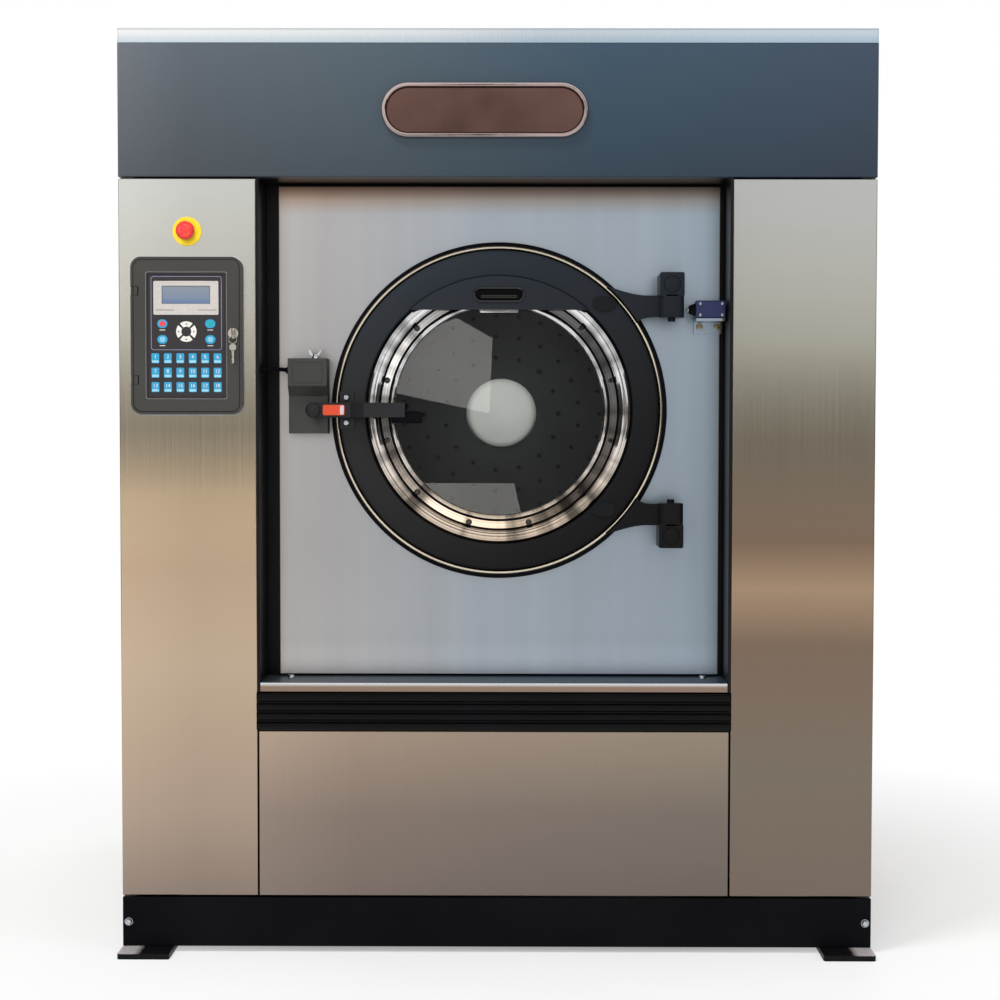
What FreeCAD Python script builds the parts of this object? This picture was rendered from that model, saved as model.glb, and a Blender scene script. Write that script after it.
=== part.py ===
import FreeCAD, Part
import math
import os

os.makedirs("parts", exist_ok=True)
V = FreeCAD.Vector

# Industrial front-loading washing machine, millimetres, +Z up, front towards -Y.

# Cabinet envelope and the stack of front panels from the floor up
cabinet_w = 1600.0
cabinet_d = 1500.0
foot_t = 12.0
base_h = 106.0
lower_panel_h = 354.0
bumper_h = 80.0
bumper_seat = 15.0
sill_h = 20.0
recess_h = 1070.0
header_h = 280.0
cover_h = 30.0
seam = 4.0
hairline = 1.0
panel_depth = 28.0
sheet = 3.0
edge_r = 2.5
lining_t = 6.0
post_w = 60.0
post_wall = 6.0
beam_w = 100.0
beam_wall = 8.0
base_bolt_in = 13.0
base_bolt_r = 8.0
badge_l = 435.0
badge_h = 115.0
badge_t = 12.0
badge_rim = 9.0
badge_left = 27.0

# Door: everything round follows from the radius of the window
tub_x = 3.0
view_r = 225.0
glass_lap = 11.0
glass_t = 12.0
bolt_out = 24.0
clamp_w = 62.0
ring_w = 55.0
pan_edge = 10.0
gasket_out = 12.0
gasket_t = 14.7
gasket_gap = 0.3
pan_t = 12.0
ring_h = 38.0
bolt_count = 12
chord_in = 72.0
hinge_half = 26.0
hinge_round = 14.0
hinge_out = 5.0
knuckle_h = 50.0
hinge_gap = 2.0
pin_r = 8.0

# Lever, lock box and limit switch
boss_out = 32.0
boss_r = 16.0
lever_h = 31.0
lever_len = 197.0
stem_r = 8.0
lock_hole_r = 11.0
lock_side = 57.0
lock_w = 84.0
lock_down = 50.0
lock_up = 111.0
lock_low_d = 43.0
lock_high_d = 65.0
switch_off = 52.0
switch_w = 62.0
switch_h = 38.0
switch_rise = 1.0
plunger_clear = 1.0

# Recess around the suspended front panel
recess_d = 125.0
recess_left = 54.0
recess_right = 5.0
inset_t = 12.0
inset_gap_left = 28.0
inset_gap_right = 9.0
inset_gap_z = 5.0
axis_share = 580.0 / 1070.0

# Suspended tub, drum and drive
neck_out = 73.0
neck_stand = 5.0
tub_behind_inset = 53.0
tub_r = 680.0
tub_wall = 8.0
tub_len = 680.0
drum_gap = 55.0
drum_wall = 8.0
drum_front_gap = 12.0
spider_room = 100.0
mouth_in = 13.0
lifter_h = 90.0
strut_in = 150.0
strut_r = 15.0
shaft_r = 60.0
bearing_r = 110.0
running = 0.05
house_len = 320.0
pulley_r = 350.0
motor_pulley_r = 90.0
pulley_w = 80.0
belt_t = 10.0
belt_gap = 0.3
motor_r = 130.0
motor_hang = 150.0
motor_foot_w = 220.0
rail_drop = 38.0
rail_w = 80.0
rail_h = 80.0
spring_in = 220.0
spring_front = 270.0
spring_rear = 230.0
inverter_w = 128.0
inverter_d = 350.0
inverter_h = 282.0

# Emergency stop and control door
estop_down = 111.0
estop_plate_r = 30.5
estop_head_r = 19.5
estop_stem_r = 8.0
estop_travel = 5.0
bezel_left = 28.0
bezel_right = 27.0
bezel_top = 165.0
bezel_h = 331.0
bezel_t = 13.6
bezel_r = 23.0
control_gap = 0.4
module_in = 32.0
cam_in = 18.5
cam_up = 170.0
cam_r = 11.0
plug_r = 8.0
control_axis_in = 5.0
control_hinge_in = 72.0
control_pin_r = 2.5

# Foot plates, mounts and services
foot_w = 110.0
foot_l = 178.0
foot_out = 68.0
anchor_r = 9.0
drain_x = -250.0
drain_drop = 105.0
sump_lap = 90.0
valve_stub = 70.0
outlet_in = 150.0
drain_r = 55.0
drain_len = 60.0
inlet_r = 13.2
inlet_xs = (300.0, 420.0)
inlet_over = 41.25
inlet_len = 48.0
inlet_nut = 6.0
valve_w = 80.0
valve_d = 60.0
gland_x = -420.0
gland_r = 20.0
gland_bore_r = 9.0

# Derived radii of the door
glass_r = view_r + glass_lap
bolt_circle_r = view_r + bolt_out
ring_in_r = view_r + clamp_w
ring_out_r = ring_in_r + ring_w
pan_r = ring_out_r + pan_edge
gasket_r = pan_r + gasket_out
neck_r = view_r + neck_out
mouth_r = neck_r - mouth_in
chord_h = ring_in_r - chord_in
hinge_c = ring_in_r - chord_in

# Derived positions across the front
half = cabinet_w / 2
front = -cabinet_d / 2
rear = cabinet_d / 2
hinge_x = tub_x + gasket_r + hinge_out
boss_x = tub_x - gasket_r - boss_out
lock_x0 = boss_x - lock_side
lock_x1 = lock_x0 + lock_w
switch_x0 = hinge_x + switch_off
open_x0 = lock_x0 - recess_left
open_x1 = switch_x0 + switch_w + recess_right
left_in = open_x0 - lining_t
right_in = open_x1 + lining_t
inset_x0 = open_x0 + inset_gap_left
inset_x1 = open_x1 - inset_gap_right
bezel_x0 = -half + bezel_left
bezel_x1 = left_in - bezel_right
estop_x = (bezel_x0 + bezel_x1) / 2
module_x0 = bezel_x0 + module_in
module_x1 = bezel_x1 - module_in
cam_x = bezel_x1 - cam_in
anchor_x = half - foot_w / 2
anchor_y = rear + foot_out / 2

# Derived levels
base_z1 = foot_t + base_h
panel_z0 = base_z1 + seam
lower_z1 = panel_z0 + lower_panel_h
bumper_z0 = lower_z1 + hairline
bumper_z1 = bumper_z0 + bumper_h
sill_z0 = bumper_z1 + 2 * hairline
sill_z1 = sill_z0 + sill_h
recess_z1 = sill_z1 + recess_h
header_z1 = recess_z1 + header_h
panel_z1 = recess_z1 - seam
cover_z1 = header_z1 + cover_h
axis_z = sill_z1 + recess_h * axis_share
inset_z0 = sill_z1 + inset_gap_z
inset_z1 = recess_z1 - inset_gap_z
lock_z0 = axis_z - lock_down
lock_z1 = axis_z + lock_up
switch_z = axis_z + hinge_c + switch_rise
estop_z = panel_z1 - estop_down
bezel_z1 = panel_z1 - bezel_top
bezel_z0 = bezel_z1 - bezel_h
module_z0 = bezel_z0 + module_in
module_z1 = bezel_z1 - module_in
cam_z = bezel_z0 + cam_up
control_hinge_zs = (bezel_z0 + control_hinge_in, bezel_z1 - control_hinge_in)
rail_top = axis_z - tub_r - rail_drop
rail_z = rail_top - rail_h
motor_z = rail_top - motor_hang
motor_drop = axis_z - motor_z
drain_z = rail_top - drain_drop
hose_x = sum(inlet_xs) / 2
inlet_z = round(axis_z + math.sqrt(tub_r ** 2 - (hose_x - tub_x) ** 2) + inlet_over)

# Derived planes from the front to the back
panel_back = front + panel_depth
inset_y = front + recess_d
inset_back = inset_y + inset_t
lining_back = inset_back + 13.0
flange_y = lining_back - lining_t
tub_y0 = inset_back + tub_behind_inset
tub_y1 = tub_y0 + tub_len
drum_r = tub_r - drum_gap
drum_y0 = tub_y0 + tub_wall + drum_front_gap
drum_y1 = tub_y1 - spider_room
drum_len = drum_y1 - drum_y0
house_y1 = tub_y1 + house_len
gasket_y = inset_y - gasket_gap
pan_back = gasket_y - gasket_t
pan_front = pan_back - pan_t
ring_front = pan_front - ring_h
glass_front = pan_front - glass_t
hinge_y = ring_front
corner_reach = (hinge_half - hinge_round) * math.sqrt(2) + hinge_round
plunger_tip_x = hinge_x + corner_reach + plunger_clear
spring_ys = (front + spring_front, rear - spring_rear)
spring_xs = (tub_x - tub_r + spring_in, tub_x + tub_r - spring_in)


def block(x0, x1, y0, y1, z0, z1):
    return Part.makeBox(x1 - x0, y1 - y0, z1 - z0, V(x0, y0, z0))


def rod_x(r, y, z, x0, x1):
    return Part.makeCylinder(r, x1 - x0, V(x0, y, z), V(1, 0, 0))


def rod_y(r, x, z, y0, y1):
    return Part.makeCylinder(r, y1 - y0, V(x, y0, z), V(0, 1, 0))


def rod_z(r, x, y, z0, z1):
    return Part.makeCylinder(r, z1 - z0, V(x, y, z0), V(0, 0, 1))


def ring_y(ro, ri, x, z, y0, y1):
    return rod_y(ro, x, z, y0, y1).cut(rod_y(ri, x, z, y0 - 1, y1 + 1))


def turned(profile, x=tub_x, z=axis_z):
    points = [V(x + r, y, z) for r, y in profile]
    face = Part.Face(Part.makePolygon(points + points[:1]))
    return face.revolve(V(x, 0, z), V(0, 1, 0), 360)


def plate_xz(points, y0, y1):
    corners = [V(x, y0, z) for x, z in points]
    face = Part.Face(Part.makePolygon(corners + corners[:1]))
    return face.extrude(V(0, y1 - y0, 0))


def plate_yz(points, x0, x1):
    corners = [V(x0, y, z) for y, z in points]
    face = Part.Face(Part.makePolygon(corners + corners[:1]))
    return face.extrude(V(x1 - x0, 0, 0))


def round_edges(shape, r, direction):
    picked = []
    for edge in shape.Edges:
        if edge.Curve.TypeId == "Part::GeomLine":
            along = edge.tangentAt(edge.FirstParameter)
            if abs(along.dot(direction)) > 0.999:
                picked.append(edge)
    return shape.makeFillet(r, picked)


def stadium_xz(x, z, length, height, y0, y1):
    straight = (length - height) / 2
    body = block(x - straight, x + straight, y0, y1, z - height / 2, z + height / 2)
    for side in (-1, 1):
        body = body.fuse(rod_y(height / 2, x + side * straight, z, y0, y1))
    return body.removeSplitter()


def front_tray(x0, x1, z0, z1):
    outer = block(x0, x1, front, panel_back, z0, z1)
    rim = []
    for edge in outer.Edges:
        box = edge.BoundBox
        if box.YMax - front < 0.01:
            rim.append(edge)
    outer = outer.makeFillet(edge_r, rim)
    hollow = block(x0 + sheet, x1 - sheet, front + sheet, panel_back + 1, z0 + sheet, z1 - sheet)
    return outer.cut(hollow)


def channel(x0, x1, y0, y1, z0, z1, wall):
    outer = block(x0, x1, y0, y1, z0, z1)
    return outer.cut(block(x0 + wall, x1 - wall, y0 + wall, y1 - wall, z0 - 1, z1 - wall))


def post(x0, y0, z0, z1):
    outer = block(x0, x0 + post_w, y0, y0 + post_w, z0, z1)
    wide = post_w - post_wall
    inner = block(x0 + post_wall, x0 + wide, y0 + post_wall, y0 + wide, z0 - 1, z1 + 1)
    return outer.cut(inner)


def save(name, shapes):
    solids = []
    for shape in shapes:
        solids.extend(shape.Solids)
    result = solids[0] if len(solids) == 1 else Part.makeCompound(solids)
    result.exportStep("parts/" + name + ".step")


# Base: channel beams on the floor plates, with cross beams under the springs
base_beams = [
    channel(-half, half, front, front + beam_w, foot_t, base_z1, beam_wall),
    channel(-half, half, rear - beam_w, rear, foot_t, base_z1, beam_wall),
]
for side in (-1, 1):
    edge = side * (half - beam_w)
    x0 = min(edge, side * half)
    base_beams.append(
        channel(x0, x0 + beam_w, front + beam_w, rear - beam_w, foot_t, base_z1, beam_wall))
for y in spring_ys:
    y0 = y - beam_w / 2
    base_beams.append(
        channel(beam_w - half, half - beam_w, y0, y0 + beam_w, foot_t, base_z1, beam_wall))

base_bolts = []
bolt_z = foot_t + base_h / 2
for side in (-1, 1):
    bolt_x = side * (half - base_bolt_in)
    corners = []
    for k in range(7):
        turn = k * math.pi / 3
        dx = base_bolt_r * math.cos(turn)
        dz = base_bolt_r * math.sin(turn)
        corners.append(V(bolt_x + dx, front, bolt_z + dz))
    base_bolts.append(Part.Face(Part.makePolygon(corners)).extrude(V(0, -6, 0)))

feet = []
for sx in (-1, 1):
    for sy in (-1, 1):
        x0 = min(sx * half, sx * (half - foot_w))
        y_out = sy * (rear + foot_out)
        y0 = min(y_out, y_out - sy * foot_l)
        foot = round_edges(block(x0, x0 + foot_w, y0, y0 + foot_l, 0, foot_t), 6, V(0, 0, 1))
        feet.append(foot.cut(rod_z(anchor_r, sx * anchor_x, sy * anchor_y, -1, foot_t + 1)))
save("foot_plates", feet)

# Posts and rails that carry the panels
post_x = half - panel_depth - post_w
rail_z0 = header_z1 - post_w
frame = []
for x0 in (-half + panel_depth, post_x):
    for y0 in (panel_back, -panel_back - post_w):
        frame.append(post(x0, y0, base_z1, header_z1))
    frame.append(block(x0, x0 + post_w, panel_back + post_w, -panel_back - post_w, rail_z0, header_z1).cut(
        block(x0 + post_wall, x0 + post_w - post_wall, panel_back + post_w - 1, -panel_back - post_w + 1,
              rail_z0 + post_wall, header_z1 - post_wall)))
jamb_z1 = recess_z1 + 2 * lining_t
for x0 in (left_in - post_w, right_in):
    frame.append(post(x0, panel_back, base_z1, jamb_z1))
clip_w = 24.0
for x0 in (left_in, right_in - clip_w):
    clip_y1 = panel_back + clip_w
    frame.append(block(x0, x0 + clip_w, panel_back, clip_y1, panel_z0 + 60, lower_z1 - 60))
frame.append(block(-post_x, post_x, panel_back, panel_back + post_w, jamb_z1, jamb_z1 + post_w).cut(
    block(-post_x - 1, post_x + 1, panel_back + post_wall, panel_back + post_w - post_wall,
          jamb_z1 + post_wall, jamb_z1 + post_w - post_wall)))
beam_y0 = front + bumper_seat
frame.append(block(left_in, right_in, beam_y0, inset_back, bumper_z0 + 2, sill_z0).cut(
    block(left_in - 1, right_in + 1, beam_y0 + post_wall, inset_back - post_wall,
          bumper_z0 + 2 + post_wall, sill_z0 - post_wall)))
save("base_frame", base_beams + base_bolts + frame)

# Front panels
control_x0 = bezel_x0 + 20.0
control_x1 = bezel_x1 - 8.0
control_z0 = bezel_z0 + 20.0
control_z1 = bezel_z1 - 20.0
left_panel = front_tray(-half, left_in, panel_z0, panel_z1)
sheet_back = front + sheet + 1
left_panel = left_panel.cut(block(control_x0, control_x1, front - 1, sheet_back, control_z0, control_z1))
left_panel = left_panel.cut(rod_y(estop_stem_r + 3, estop_x, estop_z, front - 1, sheet_back))
save("left_front_panel", [left_panel])
save("right_front_panel", [front_tray(right_in, half, panel_z0, panel_z1)])
save("header_panel", [front_tray(-half, half, recess_z1, header_z1)])
save("lower_front_panel", [front_tray(left_in + sheet, right_in - sheet, panel_z0, lower_z1)])

cover = round_edges(block(-half, half, front, rear, header_z1, cover_z1), 4, V(0, 0, 1))
cover = cover.cut(
    block(sheet - half, half - sheet, front + sheet, rear - sheet, header_z1 - 1, cover_z1 - sheet))
cover_pads = []
for x0 in (-half + panel_depth, post_x):
    for y0 in (panel_back, -panel_back - post_w):
        cover_pads.append(block(x0, x0 + post_w, y0, y0 + post_w, header_z1, cover_z1 - sheet))
for pad in cover_pads:
    cover = cover.fuse(pad)
save("top_cover", [cover.removeSplitter()])

sill = block(open_x0, open_x1, front, lining_back, sill_z0, sill_z1)
sill = sill.cut(block(open_x0 + sheet, open_x1 - sheet, front + sheet, lining_back - sheet,
                      sill_z0 - 1, sill_z1 - sheet))
save("front_sill", [sill])

# Ribbed rubber bumper on the front cross beam
rib_h = bumper_h / 4
bumper = block(left_in + hairline, right_in - hairline, front - 4, beam_y0, bumper_z0, bumper_z1)
for k in range(4):
    z = bumper_z0 + rib_h * (k + 0.5)
    bead = rod_x(rib_h * 0.42, front - 4, z, left_in + hairline, right_in - hairline)
    bumper = bumper.fuse(bead)
save("ribbed_bumper", [bumper.removeSplitter()])

# Recess lining: walls, soffit and the return frame behind the floating panel
cable_z = lock_z1 - 25.0
cable_r = 4.5
cable_y = front + 52.0
left_wall = block(left_in, open_x0, front + hairline, lining_back, sill_z0, recess_z1)
left_wall = left_wall.cut(rod_x(cable_r + 9, cable_y, cable_z, left_in - 1, open_x0 + 1))
right_wall = block(open_x1, right_in, front + hairline, lining_back, sill_z0, recess_z1)
soffit = block(left_in, right_in, panel_back, lining_back, recess_z1, recess_z1 + lining_t)
flange_w = 60.0
returns = [
    block(open_x0, open_x0 + flange_w, flange_y, lining_back, sill_z1, recess_z1),
    block(open_x1 - flange_w, open_x1, flange_y, lining_back, sill_z1, recess_z1),
    block(open_x0 + flange_w, open_x1 - flange_w, flange_y, lining_back, recess_z1 - flange_w, recess_z1),
    block(open_x0 + flange_w, open_x1 - flange_w, flange_y, lining_back, sill_z1, sill_z1 + flange_w),
]
save("recess_lining", [left_wall, right_wall, soffit] + returns)

# Side panels: trays opening inwards
side_panels = []
for side in (-1, 1):
    xs = sorted((side * half, side * (half - panel_depth)))
    inner = sorted((side * (half - sheet), side * (half - panel_depth - 1)))
    tray = block(xs[0], xs[1], panel_back + hairline, -panel_back - hairline, panel_z0, header_z1)
    tray = tray.cut(block(inner[0], inner[1], panel_back + hairline + sheet, -panel_back - hairline - sheet,
                          panel_z0 + sheet, header_z1 - sheet))
    side_panels.append(tray)
save("side_panels", side_panels)

# Rear panel with louvres, service hatch and pipe openings
rear_tray = block(-half, half, -panel_back, rear, panel_z0, header_z1)
rear_tray = rear_tray.cut(block(sheet - half, half - sheet, -panel_back - 1, rear - sheet,
                                panel_z0 + sheet, header_z1 - sheet))
rear_tray = rear_tray.cut(rod_y(drain_r, drain_x, drain_z, rear - sheet - 1, rear + 1))
for x in inlet_xs:
    rear_tray = rear_tray.cut(rod_y(inlet_r, x, inlet_z, rear - sheet - 1, rear + 1))
rear_tray = rear_tray.cut(rod_y(gland_r, gland_x, inlet_z, rear - sheet - 1, rear + 1))
louvre_x0 = 200.0
louvre_w = 320.0
louvre_h = 12.0
louvre_step = 34.0
for k in range(8):
    z = panel_z0 + 128 + louvre_step * k
    rear_tray = rear_tray.cut(
        block(louvre_x0, louvre_x0 + louvre_w, rear - sheet - 1, rear + 1, z, z + louvre_h))

hatch_half_w = pulley_r + 70
hatch_half_h = pulley_r + 80
hatch_edge = 25.0
hatch = block(tub_x - hatch_half_w, tub_x + hatch_half_w, rear, rear + 4,
              axis_z - hatch_half_h, axis_z + hatch_half_h)
hatch = round_edges(hatch, 20, V(0, 1, 0))
hatch_screws = []
for sx in (-1, 0, 1):
    for sz in (-1, 1):
        x = tub_x + sx * (hatch_half_w - hatch_edge)
        z = axis_z + sz * (hatch_half_h - hatch_edge)
        hatch_screws.append(rod_y(8, x, z, rear + 4, rear + 9))
save("rear_panel", [rear_tray, hatch] + hatch_screws)

# Badge plate, left bare
badge_x = -badge_left
badge_z = recess_z1 + header_h / 2 - hairline
badge_y = front - badge_t
field_l = badge_l - 2 * badge_rim
field_h = badge_h - 2 * badge_rim
badge = stadium_xz(badge_x, badge_z, badge_l, badge_h, badge_y, front)
badge = badge.cut(stadium_xz(badge_x, badge_z, field_l, field_h, badge_y - 1, badge_y + badge_t / 2))
save("badge_plate", [badge])

# Suspended front panel, tub, struts
inset = block(inset_x0, inset_x1, inset_y, inset_back, inset_z0, inset_z1)
inset = inset.cut(rod_y(neck_r, tub_x, axis_z, inset_y - 1, inset_back + 1))
save("inset_panel", [inset])

neck_y0 = inset_y - neck_stand
neck_in = neck_r - tub_wall
neck = ring_y(neck_r, neck_in, tub_x, axis_z, neck_y0, tub_y0)
front_head = ring_y(tub_r, neck_in, tub_x, axis_z, tub_y0, tub_y0 + tub_wall)
tub_shell = ring_y(tub_r, tub_r - tub_wall, tub_x, axis_z, tub_y0 + tub_wall, tub_y1 - tub_wall)
seal_r = shaft_r + 30
back_head = ring_y(tub_r, seal_r, tub_x, axis_z, tub_y1 - tub_wall, tub_y1)

struts = []
for sx in (-1, 1):
    for sz in (-1, 1):
        strut_off = (tub_r - strut_in) / math.sqrt(2)
        struts.append(
            rod_y(strut_r, tub_x + sx * strut_off, axis_z + sz * strut_off, inset_back, tub_y0))

# Cradle of the suspended unit: rails, saddles and the motor plate
cradle = []
tub_bore = rod_y(tub_r, tub_x, axis_z, tub_y0 - 1, tub_y1 + 1)
cradle_x0 = spring_xs[0] - rail_w / 2
cradle_x1 = spring_xs[1] + rail_w / 2
saddle_top = axis_z - math.sqrt(tub_r ** 2 - (cradle_x1 - tub_x) ** 2) - 2
rail_y0 = tub_y0 + 20
rail_y1 = spring_ys[1] + rail_w
rail_wall = 6.0
for x in spring_xs:
    x0 = x - rail_w / 2
    x1 = x + rail_w / 2
    bore = block(x0 + rail_wall, x1 - rail_wall, rail_y0 - 1, rail_y1 + 1,
                 rail_z + rail_wall, rail_top - rail_wall)
    cradle.append(block(x0, x1, rail_y0, rail_y1, rail_z, rail_top).cut(bore))
for y in (tub_y0 + 60, tub_y1 - 80):
    cradle.append(block(cradle_x0, cradle_x1, y, y + 40, rail_top, saddle_top).cut(tub_bore))
motor_y0 = tub_y1 + 30
motor_y1 = house_y1
plate_t = 16.0
cradle.append(block(cradle_x0, cradle_x1, motor_y0, motor_y1, rail_top, rail_top + plate_t))
save("tub_cradle", cradle + struts)

springs = []
for x in spring_xs:
    for y in spring_ys:
        rise = rail_z - base_z1
        bag = [(0, 0), (70, 0), (70, 0.05), (60, 0.06), (82, 0.19), (82, 0.37), (62, 0.5), (82, 0.63),
               (82, 0.81), (60, 0.94), (70, 0.95), (70, 1), (0, 1)]
        points = [V(x + r, y, base_z1 + rise * share) for r, share in bag]
        face = Part.Face(Part.makePolygon(points + points[:1]))
        springs.append(face.revolve(V(x, y, 0), V(0, 0, 1), 360))
save("air_springs", springs)

# Bearing housing behind the tub, its bearings and seal
house_r = bearing_r + 60
house_flange_r = 3 * bearing_r
housing = turned([
    (bearing_r, tub_y1), (house_flange_r, tub_y1), (house_flange_r, tub_y1 + 30), (house_r, tub_y1 + 60),
    (house_r, house_y1), (bearing_r, house_y1)])
save("bearing_housing", [housing])
bearings = []
for y in (tub_y1 + 15, house_y1 - 55):
    bearings.append(ring_y(bearing_r, shaft_r + running, tub_x, axis_z, y, y + 45))
seal = ring_y(seal_r, shaft_r + running, tub_x, axis_z, tub_y1 - tub_wall, tub_y1)
save("shaft_bearings", bearings + [seal])

# Drum, lifters, spider, hub cover and main shaft
inner_r = drum_r - drum_wall
drum_front = ring_y(drum_r, mouth_r, tub_x, axis_z, drum_y0, drum_y0 + drum_wall)
drum_back = ring_y(drum_r, shaft_r, tub_x, axis_z, drum_y1 - drum_wall, drum_y1)
drum = ring_y(drum_r, inner_r, tub_x, axis_z, drum_y0 + drum_wall, drum_y1 - drum_wall)
holes = []
for row in range(4):
    y = drum_y0 + drum_len * (row + 1) / 5
    for k in range(20):
        angle = math.radians(18 * k + 9)
        outward = V(math.cos(angle), 0, math.sin(angle))
        start = V(tub_x, y, axis_z) + outward * (drum_r - 2 * drum_wall)
        holes.append(Part.makeCylinder(9, 3 * drum_wall, start, outward))
drum = drum.cut(Part.makeCompound(holes))
save("drum_shell", [drum, drum_front, drum_back])

lifters = []
for k in range(4):
    angle = math.radians(90 * k)
    outward = V(math.cos(angle), 0, math.sin(angle))
    sideways = V(-math.sin(angle), 0, math.cos(angle))
    centre = V(tub_x, drum_y0 + drum_wall, axis_z)
    corners = [centre + outward * (inner_r + 4) + sideways * s * 70 for s in (-1, 1)]
    corners += [centre + outward * (inner_r - lifter_h) + sideways * s * 22 for s in (1, -1)]
    face = Part.Face(Part.makePolygon(corners + corners[:1]))
    wedge = face.extrude(V(0, drum_len - 2 * drum_wall, 0))
    lifters.append(wedge.common(rod_y(inner_r, tub_x, axis_z, drum_y0, drum_y1)))
save("drum_lifters", lifters)

spider_y1 = tub_y1 - tub_wall - 12
spider = ring_y(110, shaft_r, tub_x, axis_z, drum_y1, spider_y1)
for k in range(3):
    arm = block(tub_x - 35, tub_x + 35, drum_y1, drum_y1 + 40, axis_z + 80, axis_z + drum_r - 25)
    arm.rotate(V(tub_x, 0, axis_z), V(0, 1, 0), 120 * k)
    spider = spider.fuse(arm)
spider = spider.removeSplitter().cut(rod_y(shaft_r, tub_x, axis_z, drum_y1 - 1, spider_y1 + 1))

pulley_y0 = house_y1 + 30
pulley_y1 = pulley_y0 + pulley_w
shaft_y0 = drum_y1 - drum_wall
save("main_shaft", [rod_y(shaft_r, tub_x, axis_z, shaft_y0, pulley_y1 + 15), spider])
hub_cover_r = 86.0
save("hub_cover", [turned([
    (0, shaft_y0), (hub_cover_r, shaft_y0), (hub_cover_r, shaft_y0 - 30),
    (hub_cover_r - 20, shaft_y0 - 46), (0, shaft_y0 - 52)])])

# Pulleys and the belt between them
rim_t = 34.0
web_t = 22.0
web_y = (pulley_y0 + pulley_y1 - web_t) / 2
rim_in_r = pulley_r - rim_t
pulley_hub_r = shaft_r + 40
pulley = turned([
    (shaft_r, pulley_y0), (pulley_hub_r, pulley_y0), (pulley_hub_r, web_y), (rim_in_r, web_y),
    (rim_in_r, pulley_y0), (pulley_r, pulley_y0), (pulley_r, pulley_y1), (rim_in_r, pulley_y1),
    (rim_in_r, web_y + web_t), (pulley_hub_r, web_y + web_t), (pulley_hub_r, pulley_y1),
    (shaft_r, pulley_y1)])
web_mid_r = (rim_in_r + pulley_hub_r) / 2
web_hole_r = (rim_in_r - pulley_hub_r) / 2 - 38
for k in range(6):
    angle = math.radians(60 * k)
    x = tub_x + web_mid_r * math.cos(angle)
    z = axis_z + web_mid_r * math.sin(angle)
    pulley = pulley.cut(rod_y(web_hole_r, x, z, pulley_y0, pulley_y1))
save("drum_pulley", [pulley])

motor_shaft_r = 24.0
small = ring_y(motor_pulley_r, motor_shaft_r, tub_x, motor_z, pulley_y0, pulley_y1)
motor_bell = motor_y1 + 25
save("motor_rotor", [small, rod_y(motor_shaft_r, tub_x, motor_z, motor_y0 + 60, pulley_y1)])


def belt_face(grow, y):
    big = pulley_r + grow
    little = motor_pulley_r + grow
    lean = math.asin((big - little) / motor_drop)
    cos_l = math.cos(lean)
    sin_l = math.sin(lean)
    pts = []
    for s in (-1, 1):
        pts.append((V(tub_x + s * big * cos_l, y, axis_z - big * sin_l),
                    V(tub_x + s * little * cos_l, y, motor_z - little * sin_l)))
    top = Part.Arc(pts[0][0], V(tub_x, y, axis_z + big), pts[1][0]).toShape()
    low = Part.Arc(pts[0][1], V(tub_x, y, motor_z - little), pts[1][1]).toShape()
    sides = [Part.makeLine(pts[0][0], pts[0][1]), Part.makeLine(pts[1][0], pts[1][1])]
    return Part.Face(Part.Wire(Part.__sortEdges__([top, sides[0], low, sides[1]])))


belt_y0 = pulley_y0 + 5
belt_w = pulley_w - 10
belt = belt_face(belt_gap + belt_t, belt_y0).extrude(V(0, belt_w, 0))
belt = belt.cut(belt_face(belt_gap, belt_y0 - 1).extrude(V(0, belt_w + 2, 0)))
save("drive_belt", [belt])

rotor_y0 = motor_y0 + 60
foot_x = motor_foot_w / 2
motor = rod_y(motor_r, tub_x, motor_z, motor_y0, motor_y1)
motor = motor.fuse(rod_y(motor_r - 25, tub_x, motor_z, motor_y1, motor_bell))
motor = motor.fuse(block(tub_x - foot_x, tub_x + foot_x, motor_y0 + 30, motor_y1 - 30,
                         motor_z + motor_r / 2, rail_top))
motor = motor.cut(rod_y(motor_shaft_r + running, tub_x, motor_z, rotor_y0 - hairline, motor_bell + 1))
save("drive_motor", [motor.removeSplitter()])
inverter_x1 = half - panel_depth - 4
inverter = block(inverter_x1 - inverter_w, inverter_x1, 75 - inverter_d / 2, 75 + inverter_d / 2,
                 base_z1, base_z1 + inverter_h)
save("inverter_box", [round_edges(inverter, 6, V(0, 0, 1))])

# Water supply and drain
valve_y1 = rear - sheet
valve_y0 = valve_y1 - valve_d
valves = block(inlet_xs[0] - valve_w / 2, inlet_xs[1] + valve_w / 2, valve_y0, valve_y1,
               inlet_z - valve_w / 2, inlet_z + valve_w / 2)
inlets = [round_edges(valves, 5, V(0, 1, 0))]
for x in inlet_xs:
    stub = rod_y(inlet_r, x, inlet_z, valve_y1, rear + inlet_len)
    nut = rod_y(inlet_r + 7, x, inlet_z, rear, rear + inlet_nut)
    inlets.append(stub.fuse(nut).removeSplitter())
save("water_inlets", inlets)
nozzle_y1 = tub_y1 - 40
nozzle_z0 = inlet_z - inlet_over - 40
nozzle = block(hose_x - 30, hose_x + 30, nozzle_y1 - 60, nozzle_y1, nozzle_z0, inlet_z + 25).cut(tub_bore)
fill_hose = rod_y(14, hose_x, inlet_z, nozzle_y1, valve_y0)

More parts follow.
